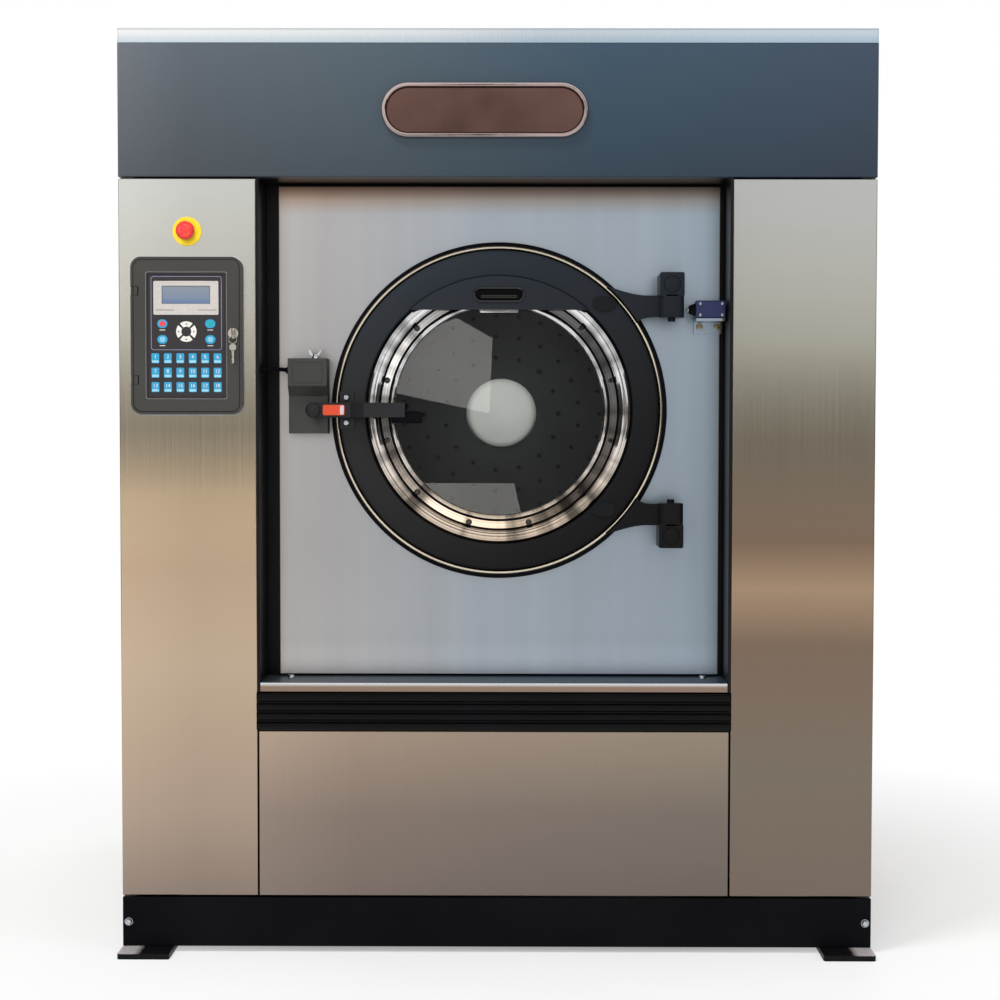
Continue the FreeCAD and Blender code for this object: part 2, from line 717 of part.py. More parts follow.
valve_half = 70.0
valve_rise = 65.0
sump_y = tub_y0 + 460.0
sump_half = 60.0
sump = block(drain_x - sump_half, drain_x + sump_half, sump_y - sump_half, sump_y + sump_half,
             drain_z + valve_rise, axis_z - tub_r + sump_lap).cut(tub_bore)
save("outer_tub", [tub_shell, front_head, back_head, neck, nozzle, sump])
drain_valve = block(drain_x - valve_half, drain_x + valve_half, sump_y - valve_half, sump_y + valve_half,
                    drain_z - valve_rise, drain_z + valve_rise)
drain_valve = round_edges(drain_valve, 8, V(0, 0, 1))
stub_y1 = sump_y + valve_half + valve_stub
drain_valve = drain_valve.fuse(rod_y(drain_r, drain_x, drain_z, sump_y, stub_y1))
save("drain_valve", [drain_valve.removeSplitter()])
outlet_y0 = rear - outlet_in
hose_y0 = stub_y1 - 40
hose_rings = [(drain_r, hose_y0), (drain_r + 7, hose_y0)]
steps = 24
pitch = (outlet_y0 + 40 - hose_y0) / steps
for k in range(steps):
    y = hose_y0 + pitch * k
    hose_rings.append((drain_r + 12, y + pitch * 0.3))
    hose_rings.append((drain_r + 12, y + pitch * 0.6))
    hose_rings.append((drain_r + 7, y + pitch))
hose_rings.append((drain_r, outlet_y0 + 40))
save("water_hoses", [fill_hose, turned(hose_rings, drain_x, drain_z)])
outlet = ring_y(drain_r, drain_r - 4, drain_x, drain_z, rear - sheet, rear + drain_len)
outlet = outlet.fuse(ring_y(drain_r - gasket_gap, drain_r - 4, drain_x, drain_z, outlet_y0, rear - sheet))
outlet = outlet.fuse(ring_y(drain_r + 30, drain_r - 4, drain_x, drain_z, rear, rear + 6))
save("drain_outlet", [outlet.removeSplitter()])
gland = rod_y(gland_r, gland_x, inlet_z, rear - sheet, rear + 22)
gland = gland.fuse(rod_y(gland_r + 8, gland_x, inlet_z, rear, rear + 10))
gland = gland.removeSplitter().cut(rod_y(gland_bore_r, gland_x, inlet_z, rear - 10, rear + 30))
save("cable_gland", [gland])

# Door: gasket, pan, painted ring, clamp ring, bolts, glass and shield
save("door_gasket", [turned([
    (ring_out_r - 12, pan_back), (gasket_r, pan_back), (gasket_r, gasket_y - 3), (gasket_r - 4, gasket_y),
    (ring_out_r - 12, gasket_y)])])
lip_y = ring_front + 10
save("door_pan", [turned([
    (view_r + 3, pan_back), (pan_r, pan_back), (pan_r, lip_y + 2), (pan_r - 2, lip_y), (ring_out_r, lip_y),
    (ring_out_r, pan_front), (view_r + 3, pan_front)])])
save("door_ring", [turned([
    (ring_in_r, pan_front), (ring_out_r, pan_front), (ring_out_r, lip_y - 2), (ring_out_r - 8, ring_front),
    (ring_in_r, ring_front)])])
flange_front = glass_front - 10
bead_y = ring_front + 4
save("glass_clamp_ring", [turned([
    (glass_r + 1, pan_front), (ring_in_r, pan_front), (ring_in_r, bead_y + 10), (ring_in_r - 4, bead_y + 3),
    (ring_in_r - 15, bead_y), (ring_in_r - 26, bead_y + 3), (ring_in_r - 30, flange_front),
    (view_r + 6, flange_front), (view_r, flange_front + 4), (view_r, glass_front),
    (glass_r + 1, glass_front)])])
save("door_glass", [rod_y(glass_r, tub_x, axis_z, glass_front, pan_front)])
ring_bolts = []
for k in range(bolt_count):
    angle = math.radians(360.0 / bolt_count * (k + 0.5))
    x = tub_x + bolt_circle_r * math.cos(angle)
    z = axis_z + bolt_circle_r * math.sin(angle)
    ring_bolts.append(turned([
        (0, flange_front), (7, flange_front), (7, flange_front - 3), (4, flange_front - 6),
        (0, flange_front - 7)], x, z))
save("glass_ring_bolts", ring_bolts)

shield_front = ring_front - 4
shield = rod_y(ring_in_r, tub_x, axis_z, shield_front, bead_y)
shield = shield.cut(block(tub_x - pan_r, tub_x + pan_r, shield_front - 1, bead_y + 1,
                          axis_z - pan_r, axis_z + chord_h))
pocket_half = 52.0
pocket_z0 = axis_z + chord_h + 18
pocket_h = 28.0
pocket = block(tub_x - pocket_half, tub_x + pocket_half, shield_front - 1, bead_y + 1,
               pocket_z0, pocket_z0 + pocket_h)
shield = shield.cut(round_edges(pocket, 8, V(0, 1, 0)))
save("door_shield", [shield])

# Hinges: fixed blocks with pins on the suspended panel, knuckles and arms on the door
hinge_x0 = hinge_x - hinge_half
hinge_x1 = hinge_x + hinge_half
arms = []
pads = []
blocks = []
pins = []
for side in (-1, 1):
    c = axis_z + side * hinge_c
    z0 = c - knuckle_h / 2
    z1 = c + knuckle_h / 2
    knuckle = block(hinge_x0, hinge_x1, hinge_y - hinge_half, hinge_y + hinge_half, z0, z1)
    knuckle = round_edges(knuckle, hinge_round, V(0, 0, 1))
    arm_x0 = tub_x + view_r + 2
    arm = plate_xz([(arm_x0, c - 36), (arm_x0, c + 36), (hinge_x - 42, c + 23), (hinge_x, c + 23),
                    (hinge_x, c - 23), (hinge_x - 42, c - 23)], ring_front, ring_front + 26)
    arm = arm.cut(rod_y(pan_r, tub_x, axis_z, ring_front - 1, pan_back))
    arm = knuckle.fuse(arm).removeSplitter()
    arms.append(arm.cut(rod_z(pin_r + running, hinge_x, hinge_y, z0 - 1, z1 + 1)))
    pads.append(stadium_xz(tub_x + view_r, c - side * 3 + 8, 49, 31, ring_front - 4, ring_front))
    inner_z = c + side * (knuckle_h / 2 + hinge_gap)
    outer_z = inner_z + side * 52
    low = min(inner_z, outer_z)
    fixed = block(hinge_x0, hinge_x1, hinge_y - hinge_half, inset_y, low, low + 52)
    fixed = round_edges(fixed, 4, V(0, 1, 0))
    fixed = fixed.cut(rod_y(18, hinge_x, low + 26, hinge_y - hinge_half - 1, hinge_y - hinge_half + 3))
    pin_z = sorted((outer_z - side * 8, c - side * knuckle_h / 2))
    fixed = fixed.cut(rod_z(pin_r, hinge_x, hinge_y, pin_z[0], pin_z[1]))
    blocks.append(fixed)
    pins.append(rod_z(pin_r, hinge_x, hinge_y, pin_z[0], pin_z[1]))
pad_zone = ring_y(ring_out_r - 8, ring_in_r, tub_x, axis_z, ring_front - 5, ring_front + 1)
save("hinge_arms", arms + [pad.common(pad_zone) for pad in pads])
save("hinge_blocks", blocks)
save("hinge_pins", pins)

# Lever with its bracket on the door ring, and the lock box it turns in
bracket_t = 4.0
bracket_y = ring_front - bracket_t
bracket_x0 = tub_x - ring_out_r + 1
bracket_w = 31.0
bracket = block(bracket_x0, bracket_x0 + bracket_w, bracket_y, ring_front, axis_z - 40, axis_z + 40)
link = block(boss_x, bracket_x0 + 8, bracket_y, ring_front, axis_z - boss_r, axis_z + boss_r)
bracket = bracket.fuse(link)
bracket = bracket.fuse(rod_y(boss_r, boss_x, axis_z, bracket_y, ring_front)).removeSplitter()
bracket = bracket.cut(rod_y(stem_r + running, boss_x, axis_z, bracket_y - 1, ring_front + 1))
bracket_screws = []
for dz in (-26.0, 26.0):
    bracket_screws.append(rod_y(6, bracket_x0 + 14, axis_z + dz, bracket_y - 4, bracket_y))
save("lever_bracket", [bracket] + bracket_screws)

boss_back = bracket_y - 0.3
lever_back = bracket_y - 5.5
lever_front = lever_back - 16
grip_front = lever_front - 28
elbow_x = boss_x + 80
lever_end = boss_x + lever_len
lever_z0 = axis_z - lever_h / 2
bar = block(boss_x, elbow_x, lever_front, lever_back, lever_z0, lever_z0 + lever_h)
neck_plan = [(elbow_x - 0.5, lever_back), (elbow_x - 0.5, lever_front), (elbow_x + 30, grip_front),
             (lever_end, grip_front), (lever_end, grip_front + 18), (elbow_x + 34, grip_front + 18),
             (elbow_x + 6, lever_back)]
plan = [V(x, y, lever_z0) for x, y in neck_plan]
grip = Part.Face(Part.makePolygon(plan + plan[:1])).extrude(V(0, 0, lever_h))
lever = bar.fuse(grip).fuse(rod_y(boss_r, boss_x, axis_z, lever_front - 4, boss_back)).removeSplitter()
lever = lever.fuse(rod_y(stem_r, boss_x, axis_z, lever_back - 1, inset_y - 20)).removeSplitter()
tab = block(boss_x + 22, boss_x + 66, lever_front - 1, lever_front, axis_z - 10, axis_z + 10)
save("door_lever", [lever, round_edges(tab, 3, V(0, 1, 0))])

lock_low_y = inset_y - lock_low_d
lock_high_y = inset_y - lock_high_d
slope_z0 = lock_z1 - 81
slope_z1 = lock_z1 - 59
lock = plate_yz([(inset_y, lock_z0), (lock_low_y, lock_z0), (lock_low_y, slope_z0), (lock_high_y, slope_z1),
                 (lock_high_y, lock_z1), (inset_y, lock_z1)], lock_x0, lock_x1)
lock = lock.cut(rod_y(lock_hole_r, boss_x, axis_z, lock_low_y - 1, inset_y - 12))
wing_y = lock_high_y + 30
wing_r = 4.0
lock = lock.cut(rod_z(wing_r + running, boss_x, wing_y, lock_z1 - 12, lock_z1 + 1))
save("lock_box", [lock])
wing = rod_z(wing_r, boss_x, wing_y, lock_z1 - 11, lock_z1 + 10)
wing = wing.fuse(rod_z(8, boss_x, wing_y, lock_z1 + 0.3, lock_z1 + 8))
wing = wing.fuse(block(boss_x - 15, boss_x + 15, wing_y - 2, wing_y + 2, lock_z1 + 5, lock_z1 + 20))
save("lock_wing_screw", [wing.removeSplitter()])

cable_start = V(lock_x0, lock_high_y + 32, cable_z)
cable_mid = V((lock_x0 + open_x0) / 2, (cable_start.y + cable_y) / 2, cable_z + 4)
cable_end = V(left_in + hairline, cable_y, cable_z)
route = Part.BSplineCurve()
route.interpolate([cable_start, cable_mid, cable_end], InitialTangent=V(-1, 0, 0), FinalTangent=V(-1, 0, 0))
path = Part.Wire([route.toShape()])
section = Part.Wire([Part.makeCircle(cable_r, cable_start, V(-1, 0, 0))])
save("lock_cable", [path.makePipeShell([section], True, False)])

# Limit switch on its bracket, with the sprung plunger
switch_y0 = inset_y - 75
switch_y1 = inset_y - 35
switch_x1 = switch_x0 + switch_w
plunger_r = 4.0
switch_z0 = switch_z - switch_h / 2
switch = block(switch_x0, switch_x1, switch_y0, switch_y1, switch_z0, switch_z0 + switch_h)
switch = round_edges(switch, 4, V(1, 0, 0))
plunger_y = (switch_y0 + switch_y1) / 2
switch = switch.cut(rod_x(plunger_r + running, plunger_y, switch_z, switch_x0 - 1, switch_x0 + 16))
save("limit_switch", [switch])
shelf_z = switch_z0
shelf = block(switch_x0, switch_x1, switch_y0, inset_y, shelf_z - 6, shelf_z)
shelf_back = block(switch_x0, switch_x1, inset_y - 6, inset_y, shelf_z - 30, shelf_z)
shelf = shelf.fuse(shelf_back).removeSplitter()
shelf_bolts = []
for x in (switch_x0 + 14, switch_x1 - 14):
    shelf_bolts.append(rod_y(6, x, shelf_z - 18, inset_y - 11, inset_y - 6))
save("limit_switch_bracket", [shelf] + shelf_bolts)
plunger = rod_x(plunger_r, plunger_y, switch_z, plunger_tip_x + plunger_r, switch_x0 + 8)
tip = Part.makeSphere(plunger_r, V(plunger_tip_x + plunger_r, plunger_y, switch_z))
save("switch_plunger", [plunger.fuse(tip).removeSplitter()])

# Emergency stop
collar_y = front - 10
estop_plate = ring_y(estop_plate_r, estop_stem_r + running, estop_x, estop_z, front - 3, front)
estop_plate = estop_plate.fuse(ring_y(14, estop_stem_r + running, estop_x, estop_z, collar_y, front - 3))
save("estop_plate", [estop_plate.removeSplitter()])
head_back = collar_y - estop_travel - 3
head_front = head_back - 18
save("estop_stem", [rod_y(estop_stem_r, estop_x, estop_z, head_back - 8, front + 30)])
head = turned([
    (0, head_front), (estop_head_r - 6, head_front + 1), (estop_head_r, head_front + 6),
    (estop_head_r, head_back - 3), (estop_head_r - 3, head_back), (estop_stem_r + running, head_back),
    (estop_stem_r + running, head_back - 9), (0, head_back - 9)], estop_x, estop_z)
save("estop_head", [head])

# Control box in the left panel, its door, hinges and lock
box_wall = 2.0
lip = 6.0
box_back = panel_back - 2.0
control_box = block(control_x0, control_x1, front, box_back, control_z0, control_z1)
room_x0 = control_x0 + box_wall
room_x1 = control_x1 - box_wall
room_z0 = control_z0 + box_wall
room_z1 = control_z1 - box_wall
control_box = control_box.cut(
    block(room_x0, room_x1, front - 1, box_back - box_wall, room_z0, room_z1))
control_rim = block(control_x0 - lip, control_x1 + lip, front - sheet, front,
                    control_z0 - lip, control_z1 + lip)
control_rim = control_rim.cut(block(room_x0, room_x1, front - sheet - 1, front + 1, room_z0, room_z1))
control_box = control_box.fuse(control_rim).removeSplitter()
cam_slot = block(control_x1 - box_wall - 1, control_x1 + 1, front + 3, front + 10, cam_z - 24, cam_z + 9)
control_box = control_box.cut(cam_slot)

bezel_y1 = front - sheet - control_gap
bezel_y0 = bezel_y1 - bezel_t
hinge_ax = bezel_x0 + control_axis_in
hinge_ay = (bezel_y0 + bezel_y1) / 2
bezel = block(bezel_x0, bezel_x1, bezel_y0, bezel_y1, bezel_z0, bezel_z1)
bezel = round_edges(bezel, bezel_r, V(0, 1, 0))
bezel = bezel.cut(block(module_x0, module_x1, bezel_y0 - 1, bezel_y1 + 1, module_z0, module_z1))
knuckle_half = 9.0
notch_half = knuckle_half + 0.6
lugs = []
for z in control_hinge_zs:
    low = z - notch_half
    high = z + notch_half
    bezel = bezel.cut(block(bezel_x0 - 1, hinge_ax + 12, bezel_y0 - 1, bezel_y1 + 1, low, high))
    bezel = bezel.cut(rod_z(control_pin_r + running, hinge_ax, hinge_ay, low - 9, high + 9))
    lug = block(hinge_ax - 4, hinge_ax + 4, hinge_ay - 4, front, z - knuckle_half, z + knuckle_half)
    pin = rod_z(control_pin_r, hinge_ax, hinge_ay, low - 8, high + 8)
    lugs.append(lug.fuse(pin).removeSplitter())
bezel = bezel.cut(rod_y(plug_r + running, cam_x, cam_z, bezel_y0 - 1, bezel_y1 + 1))
save("control_bezel", [bezel])
save("control_box", [control_box] + lugs)

module_y0 = bezel_y0 + 1.5
module = block(module_x0, module_x1, module_y0, bezel_y1, module_z0, module_z1)
lcd_x0 = module_x0 + 16
lcd_x1 = module_x1 - 18
lcd_z1 = module_z1 - 19
lcd_z0 = lcd_z1 - 71
lcd_in = 3.0
module = module.cut(block(lcd_x0, lcd_x1, module_y0 - 1, module_y0 + lcd_in, lcd_z0, lcd_z1))
lcd = block(lcd_x0, lcd_x1, module_y0 - 0.6, module_y0 + lcd_in, lcd_z0, lcd_z1)
win_x0 = lcd_x0 + 18
win_x1 = lcd_x1 - 17
win_z0 = lcd_z0 + 23
win_z1 = lcd_z1 - 10
lcd = lcd.cut(block(win_x0, win_x1, module_y0 - 1, module_y0 + 1, win_z0, win_z1))
save("keypad_plate", [module, lcd])
save("lcd_screen", [block(win_x0, win_x1, module_y0, module_y0 + 1, win_z0, win_z1)])

key_rise = 0.8
dial_x = (module_x0 + module_x1) / 2
dial_z = lcd_z0 - 35.0
key_step_x = (module_x1 - module_x0 - 13.5) / 6
key_step_z = 30.3
key_half = 0.312 * key_step_x
dial_r = 0.84 * key_step_x
round_key = 0.84 * key_step_x
round_key_h = 0.72 * key_step_x
key_y0 = module_y0 - key_rise
keys = []
for row in range(3):
    for col in range(6):
        x = dial_x + key_step_x * (col - 2.5)
        z = dial_z - 56.0 - key_step_z * row
        key = block(x - key_half, x + key_half, key_y0, module_y0, z - 10.5, z + 10.5)
        keys.append(round_edges(key, 2.5, V(0, 1, 0)))
for sx in (-1, 1):
    for sz in (-1, 1):
        x = dial_x + sx * 1.924 * key_step_x
        z = dial_z + sz * 0.63 * key_step_x
        keys.append(stadium_xz(x, z, round_key, round_key_h, key_y0, module_y0))
keys.append(ring_y(dial_r, dial_r / 2, dial_x, dial_z, key_y0, module_y0))
keys.append(rod_y(0.43 * dial_r, dial_x, dial_z, key_y0, module_y0))
save("keypad_keys", keys)

plug = rod_y(plug_r, cam_x, cam_z, bezel_y0 - 2, front + 5)
plug = plug.fuse(rod_y(cam_r, cam_x, cam_z, bezel_y0 - 4, bezel_y0 - 0.3))
plug = plug.fuse(block(cam_x - 5, cam_x + 5, front + 5, front + 8, cam_z - 24, cam_z + 5)).removeSplitter()
key = block(cam_x - 1.2, cam_x + 1.2, bezel_y0 - 22, bezel_y0 - 4, cam_z - 4, cam_z + 4)
key = key.fuse(rod_x(12, bezel_y0 - 30, cam_z, cam_x - 1.2, cam_x + 1.2)).removeSplitter()
key = key.cut(rod_x(3, bezel_y0 - 35, cam_z, cam_x - 2, cam_x + 2))
save("cam_lock", [plug, key])
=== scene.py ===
import math
from functools import partial
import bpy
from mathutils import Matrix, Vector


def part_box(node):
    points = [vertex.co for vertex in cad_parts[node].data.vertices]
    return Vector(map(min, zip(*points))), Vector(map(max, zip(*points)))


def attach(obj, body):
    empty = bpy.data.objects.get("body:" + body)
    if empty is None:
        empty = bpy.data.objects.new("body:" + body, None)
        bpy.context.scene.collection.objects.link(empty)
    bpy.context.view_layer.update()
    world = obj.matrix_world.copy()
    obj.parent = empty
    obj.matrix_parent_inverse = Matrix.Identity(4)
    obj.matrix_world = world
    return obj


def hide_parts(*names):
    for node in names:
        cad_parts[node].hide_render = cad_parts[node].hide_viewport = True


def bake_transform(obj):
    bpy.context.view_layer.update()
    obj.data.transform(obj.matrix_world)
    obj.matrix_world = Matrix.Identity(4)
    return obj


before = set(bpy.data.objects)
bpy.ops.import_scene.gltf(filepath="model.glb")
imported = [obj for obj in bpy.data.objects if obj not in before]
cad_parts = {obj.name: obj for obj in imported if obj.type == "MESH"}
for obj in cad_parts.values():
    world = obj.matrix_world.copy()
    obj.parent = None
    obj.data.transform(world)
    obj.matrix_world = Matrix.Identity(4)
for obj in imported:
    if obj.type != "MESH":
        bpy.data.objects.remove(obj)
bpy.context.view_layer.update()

from types import SimpleNamespace

import bmesh
import bpy
from mathutils import Matrix, Vector


# Base frame: channel beams folded from thick steel plate, welded and powder coated black.
# The cabinet posts stand on it, and two hex bolts close the ends of the front beam.
def linear(code):
    """sRGB hex such as "#a0b0c0" as linear RGBA."""
    channels = [int(code[k:k + 2], 16) / 255 for k in (1, 3, 5)]
    return [c / 12.92 if c <= 0.04045 else ((c + 0.055) / 1.055) ** 2.4 for c in channels] + [1.0]


def dimmed(code, share):
    """A share of a colour's light, as linear RGBA."""
    return [c * share for c in linear(code)[:3]] + [1.0]


def set_sockets(node, inputs):
    """Fills sockets by name, or in order from a list: a plain value is set and an output is linked."""
    for socket, value in inputs.items() if isinstance(inputs, dict) else enumerate(inputs):
        if isinstance(value, bpy.types.NodeSocket):
            node.id_data.links.new(value, node.inputs[socket])
        else:
            node.inputs[socket].default_value = value


def add_node(tree, kind, inputs=(), stops=(), out=0, **settings):
    """Adds a shader node with its settings, links and ramp stops, and gives one of its outputs."""
    node = tree.nodes.new("ShaderNode" + kind)
    for setting, value in settings.items():
        setattr(node, setting, value)
    if stops:
        elements = node.color_ramp.elements
        while len(elements) < len(stops):
            elements.new(1.0)
        for element, (position, colour) in zip(elements, stops):
            element.position = position
            element.color = linear(colour) if isinstance(colour, str) else colour
    set_sockets(node, inputs)
    return node.outputs[out]


def start_material(name):
    """A new material, a call that adds its nodes, its shader and each point's place in metres."""
    material = bpy.data.materials.new(name)
    material.use_nodes = True
    add = partial(add_node, material.node_tree)
    return material, add, material.node_tree.nodes["Principled BSDF"], add("TexCoord", out="Object")


def mottled(name, patch_mm, detail, stops, sockets, gloss=None, relief=None):
    """A surface in soft patches with the tones of stops. gloss (from, to, least, most) is its roughness
    over the patches, and relief (grain in mm, strength, depth in metres) its fine bumps."""
    material, add, shader, place = start_material(name)
    patch = add("TexNoise", {"Vector": place, "Scale": 1000 / patch_mm, "Detail": detail})
    set_sockets(shader, {"Base Color": add("ValToRGB", [patch], stops), **sockets})
    if gloss:
        set_sockets(shader, {"Roughness": add("MapRange", [patch, *gloss])})
    if relief:
        grain_mm, strength, depth = relief
        grain = add("TexNoise", {"Vector": place, "Scale": 1000 / grain_mm, "Detail": 2.0})
        bumps = add("Bump", {"Height": grain, "Strength": strength, "Distance": depth})
        set_sockets(shader, {"Normal": bumps})
    return material


def powder_coat(name, shade, dusty, roughness, specular, peel_mm=5.0):
    """Baked powder paint, a little dusty. Its orange peel is about 2 mm, drawn coarser so that it shows."""
    return mottled(name, 260, 4.0, [(0.35, shade), (0.75, dusty)], {"Specular IOR Level": specular},
                   gloss=(0.3, 0.7, roughness - 0.05, roughness + 0.07), relief=(peel_mm, 0.1, 0.0006))


def solid_copy(node):
    """The faces of a CAD node, cleaned to whole flats so that their edges can be eased."""
    bm = bmesh.new()
    bm.from_mesh(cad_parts[node].data)
    bmesh.ops.remove_doubles(bm, verts=bm.verts, dist=1e-5)
    bmesh.ops.dissolve_limit(bm, angle_limit=math.radians(0.4), verts=bm.verts, edges=bm.edges)
    return bm


def make_piece(name, bm, materials, body, slot, replaces=None, ease=0.0, sharp=32.0):
    """Turns a mesh into a piece with its edges eased, riding on a body when one is given."""
    bmesh.ops.recalc_face_normals(bm, faces=bm.faces)
    mesh = bpy.data.meshes.new(name)
    bm.to_mesh(mesh)
    bm.free()
    for material in materials if isinstance(materials, list) else [materials]:
        mesh.materials.append(material)
    for face in mesh.polygons:
        face.use_smooth = True
    piece = bpy.data.objects.new(name, mesh)
    bpy.context.scene.collection.objects.link(piece)
    if ease:
        bevel = piece.modifiers.new("eased_edges", "BEVEL")
        bevel.width = ease
        bevel.segments = 3
        bevel.limit_method = "ANGLE"
        bevel.angle_limit = math.radians(sharp)
        piece.modifiers.new("flat_faces", "WEIGHTED_NORMAL")
    else:
        mesh.set_sharp_from_angle(angle=math.radians(sharp))
    if body:
        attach(piece, body)
    if replaces:
        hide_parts(replaces)
    return piece


def dress(name, node, materials, body, slot, **edges):
    """A piece with a CAD node's own shape, in that node's place."""
    make_piece(name, solid_copy(node), materials, body, slot, replaces=node, **edges)


black_coat = powder_coat("black_powder_coat", "#08080a", "#0f0f12", 0.42, 0.04)
dress("base_beams", "base_frame", black_coat, "cabinet", "black_paint", ease=0.0022)


def add_turned(bm, profile, centre, segments=48, axis="Y", closed=True, material=0):
    """Turns (radius, distance along axis) pairs round an axis through centre, into bm."""
    rings = []
    for radius, along in profile:
        ring = []
        for k in range(segments if radius else 1):
            turn = 2 * math.pi * k / segments
            u, v = radius * math.cos(turn), radius * math.sin(turn)
            point = {"X": (along, u, v), "Y": (u, along, v), "Z": (u, v, along)}[axis]
            ring.append(bm.verts.new(Vector(point) + Vector(centre)))
        rings.append(ring)
    for one, two in zip(rings, rings[1:] + rings[:1] if closed else rings[1:]):
        count = max(len(one), len(two))
        for k in range(count if count > 1 else 0):
            n = k + 1
            corners = [one[k % len(one)], one[n % len(one)], two[n % len(two)], two[k % len(two)]]
            corners = list(dict.fromkeys(corners))
            if len(corners) > 2:
                bm.faces.new(corners).material_index = material
    return bm


def add_hex_bolt(bm, spot, across, height):
    """A hex head with a domed face and a washer, lying at spot against a face that looks towards -Y."""
    half = across / 2
    washer = [(0, 0), (half * 1.45, 0), (half * 1.5, -0.0006), (half * 1.4, -0.0016), (0, -0.0016)]
    head = [(0, -0.001), (half * 1.13, -0.001), (half * 1.13, 0.001 - height), (half * 0.98, -height),
            (half * 0.55, -height - 0.0004), (half * 0.5, 0.001 - height), (0, 0.0012 - height)]
    add_turned(bm, washer, spot, 32)
    add_turned(bm, head, spot, 6)


def plated(name, shade, roughness):
    """Bright zinc or brass on machined metal, a little uneven in sheen."""
    return mottled(name, 1.5, 3.0, [(0.3, dimmed(shade, 0.92)), (0.7, shade)], {"Metallic": 1.0},
                   gloss=(0.3, 0.7, roughness - 0.08, roughness + 0.1))


zinc = plated("bright_zinc_plate", "#c9cdd2", 0.28)
front_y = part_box("left_front_panel")[0].y
sink = 0.0002
bolt_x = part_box("base_frame")[1].x - 0.013
bolts = bmesh.new()
for side in (-1, 1):
    add_hex_bolt(bolts, (side * bolt_x, front_y - sink, 0.065), across=0.012, height=0.0075)
make_piece("base_end_bolts", bolts, zinc, "cabinet", "zinc_steel", ease=0.0004)


# Foot plates: flame-cut steel under each corner, coated with the base and drilled for the floor bolts.
# The coat is rubbed thin and pale on top where the plate stands out.
def worn_plate():
    """Black paint, rubbed to a pale grey on the tops that stand out beyond the base."""
    material, add, shader, place = start_material("rubbed_black_paint")
    covered_to = 0.75
    bare_from = 0.766
    scuffs = add("TexNoise", {"Vector": place, "Scale": 1000 / 12, "Detail": 6.0})
    up = add("SeparateXYZ", [add("NewGeometry", out="Normal")], out="Z")
    aside = add("Math", [add("SeparateXYZ", [place], out="X")], operation="ABSOLUTE")
    outer = add("MapRange", [aside, covered_to, bare_from])
    bare = add("Math", [up, outer], operation="MULTIPLY", use_clamp=True)
    uneven = add("MapRange", [scuffs, 0.25, 0.7, 0.75])
    mask = add("Math", [bare, uneven], operation="MULTIPLY")
    tone = add("ValToRGB", [mask], [(0.05, "#0c0c0e"), (1.0, "#b3adab")])
    set_sockets(shader, {"Base Color": tone, "Roughness": 0.45, "Specular IOR Level": 0.12})
    return material


dress("foot_plates_painted", "foot_plates", worn_plate(), "cabinet", "black_paint", ease=0.0025)


# Front panels: trays folded from ground stainless sheet, hooked on the posts.
# The grain runs upright. Their broad soft bands of tone are painted reflections of ground and sky: warm and
# darker towards the floor, cool higher up and paler at the left.
def ground_stainless(name, tones, across=((0.0, "#ffffff"),), roughness=0.17, streak=0.035):
    """Ground stainless sheet. tones gives its colour by height and across its colour by x, in metres; these
    ramps carry painted reflections, highlights and shade. The grit lines are 0.3 mm wide, drawn coarser so
    that they show."""
    material, add, shader, place = start_material(name)
    top = 2.0
    half = 0.8
    grain = 1000 / 1.6
    share = add("Math", [add("SeparateXYZ", [place], out="Z"), 1 / top], operation="MULTIPLY")
    upright = add("ValToRGB", [share], [(z / top, code) for z, code in tones])
    along_x = add("MapRange", [add("SeparateXYZ", [place], out="X"), -half, half])
    sideways = add("ValToRGB", [along_x], [((x + half) / (2 * half), code) for x, code in across])
    cast = add("VectorMath", [upright, sideways], operation="MULTIPLY")
    drawn = add("Mapping", {"Vector": place, "Scale": (grain, grain, 1000 / 900)})
    grit = add("TexNoise", {"Vector": drawn, "Scale": 1.0, "Detail": 4.0, "Roughness": 0.65})
    light = add("MapRange", [grit, 0.25, 0.75, 1.0 - streak, 1.0 + streak * 0.6])
    tone = add("VectorMath", {0: cast, "Scale": light}, operation="SCALE")
    dull = add("MapRange", [grit, 0.25, 0.75, roughness - 0.03, roughness + 0.05])
    lines = add("Bump", {"Height": grit, "Strength": 0.05, "Distance": 0.0002})
    set_sockets(shader, {"Base Color": tone, "Metallic": 1.0, "Roughness": dull, "Normal": lines})
    return material


# The warm low tones, the pale upper tones and the paler left ends below are painted reflections of ground and
# sky.
left_steel = ground_stainless("ground_stainless_left", [
    (0.12, "#95857a"), (0.3, "#b39f8d"), (0.62, "#cbb49b"), (0.82, "#ccb296"), (0.98, "#dfc5a4"),
    (1.12, "#b1a793"), (1.34, "#cfcabd"), (1.62, "#dadbd5")],
    across=[(-0.8, "#ffffff"), (-0.64, "#f2f2f2"), (-0.5, "#f4f4f4")])
right_steel = ground_stainless("ground_stainless_right", [
    (0.12, "#796c62"), (0.4, "#7d7266"), (0.66, "#806d5e"), (0.78, "#aa9076"), (0.88, "#887260"),
    (1.1, "#958c7c"), (1.3, "#b6b3a6"), (1.62, "#bcbdbb")])
lower_steel = ground_stainless("ground_stainless_lower", [
    (0.12, "#887b72"), (0.3, "#95857a"), (0.48, "#b5a08d")],
    across=[(-0.5, "#ffffff"), (-0.3, "#e9e9ea"), (0.0, "#dee1e3"), (0.45, "#d6dcdd")])
for place, steel in (("left", left_steel), ("right", right_steel), ("lower", lower_steel)):
    dress(place + "_panel", place + "_front_panel", steel, "cabinet", "brushed_steel", ease=0.0024)


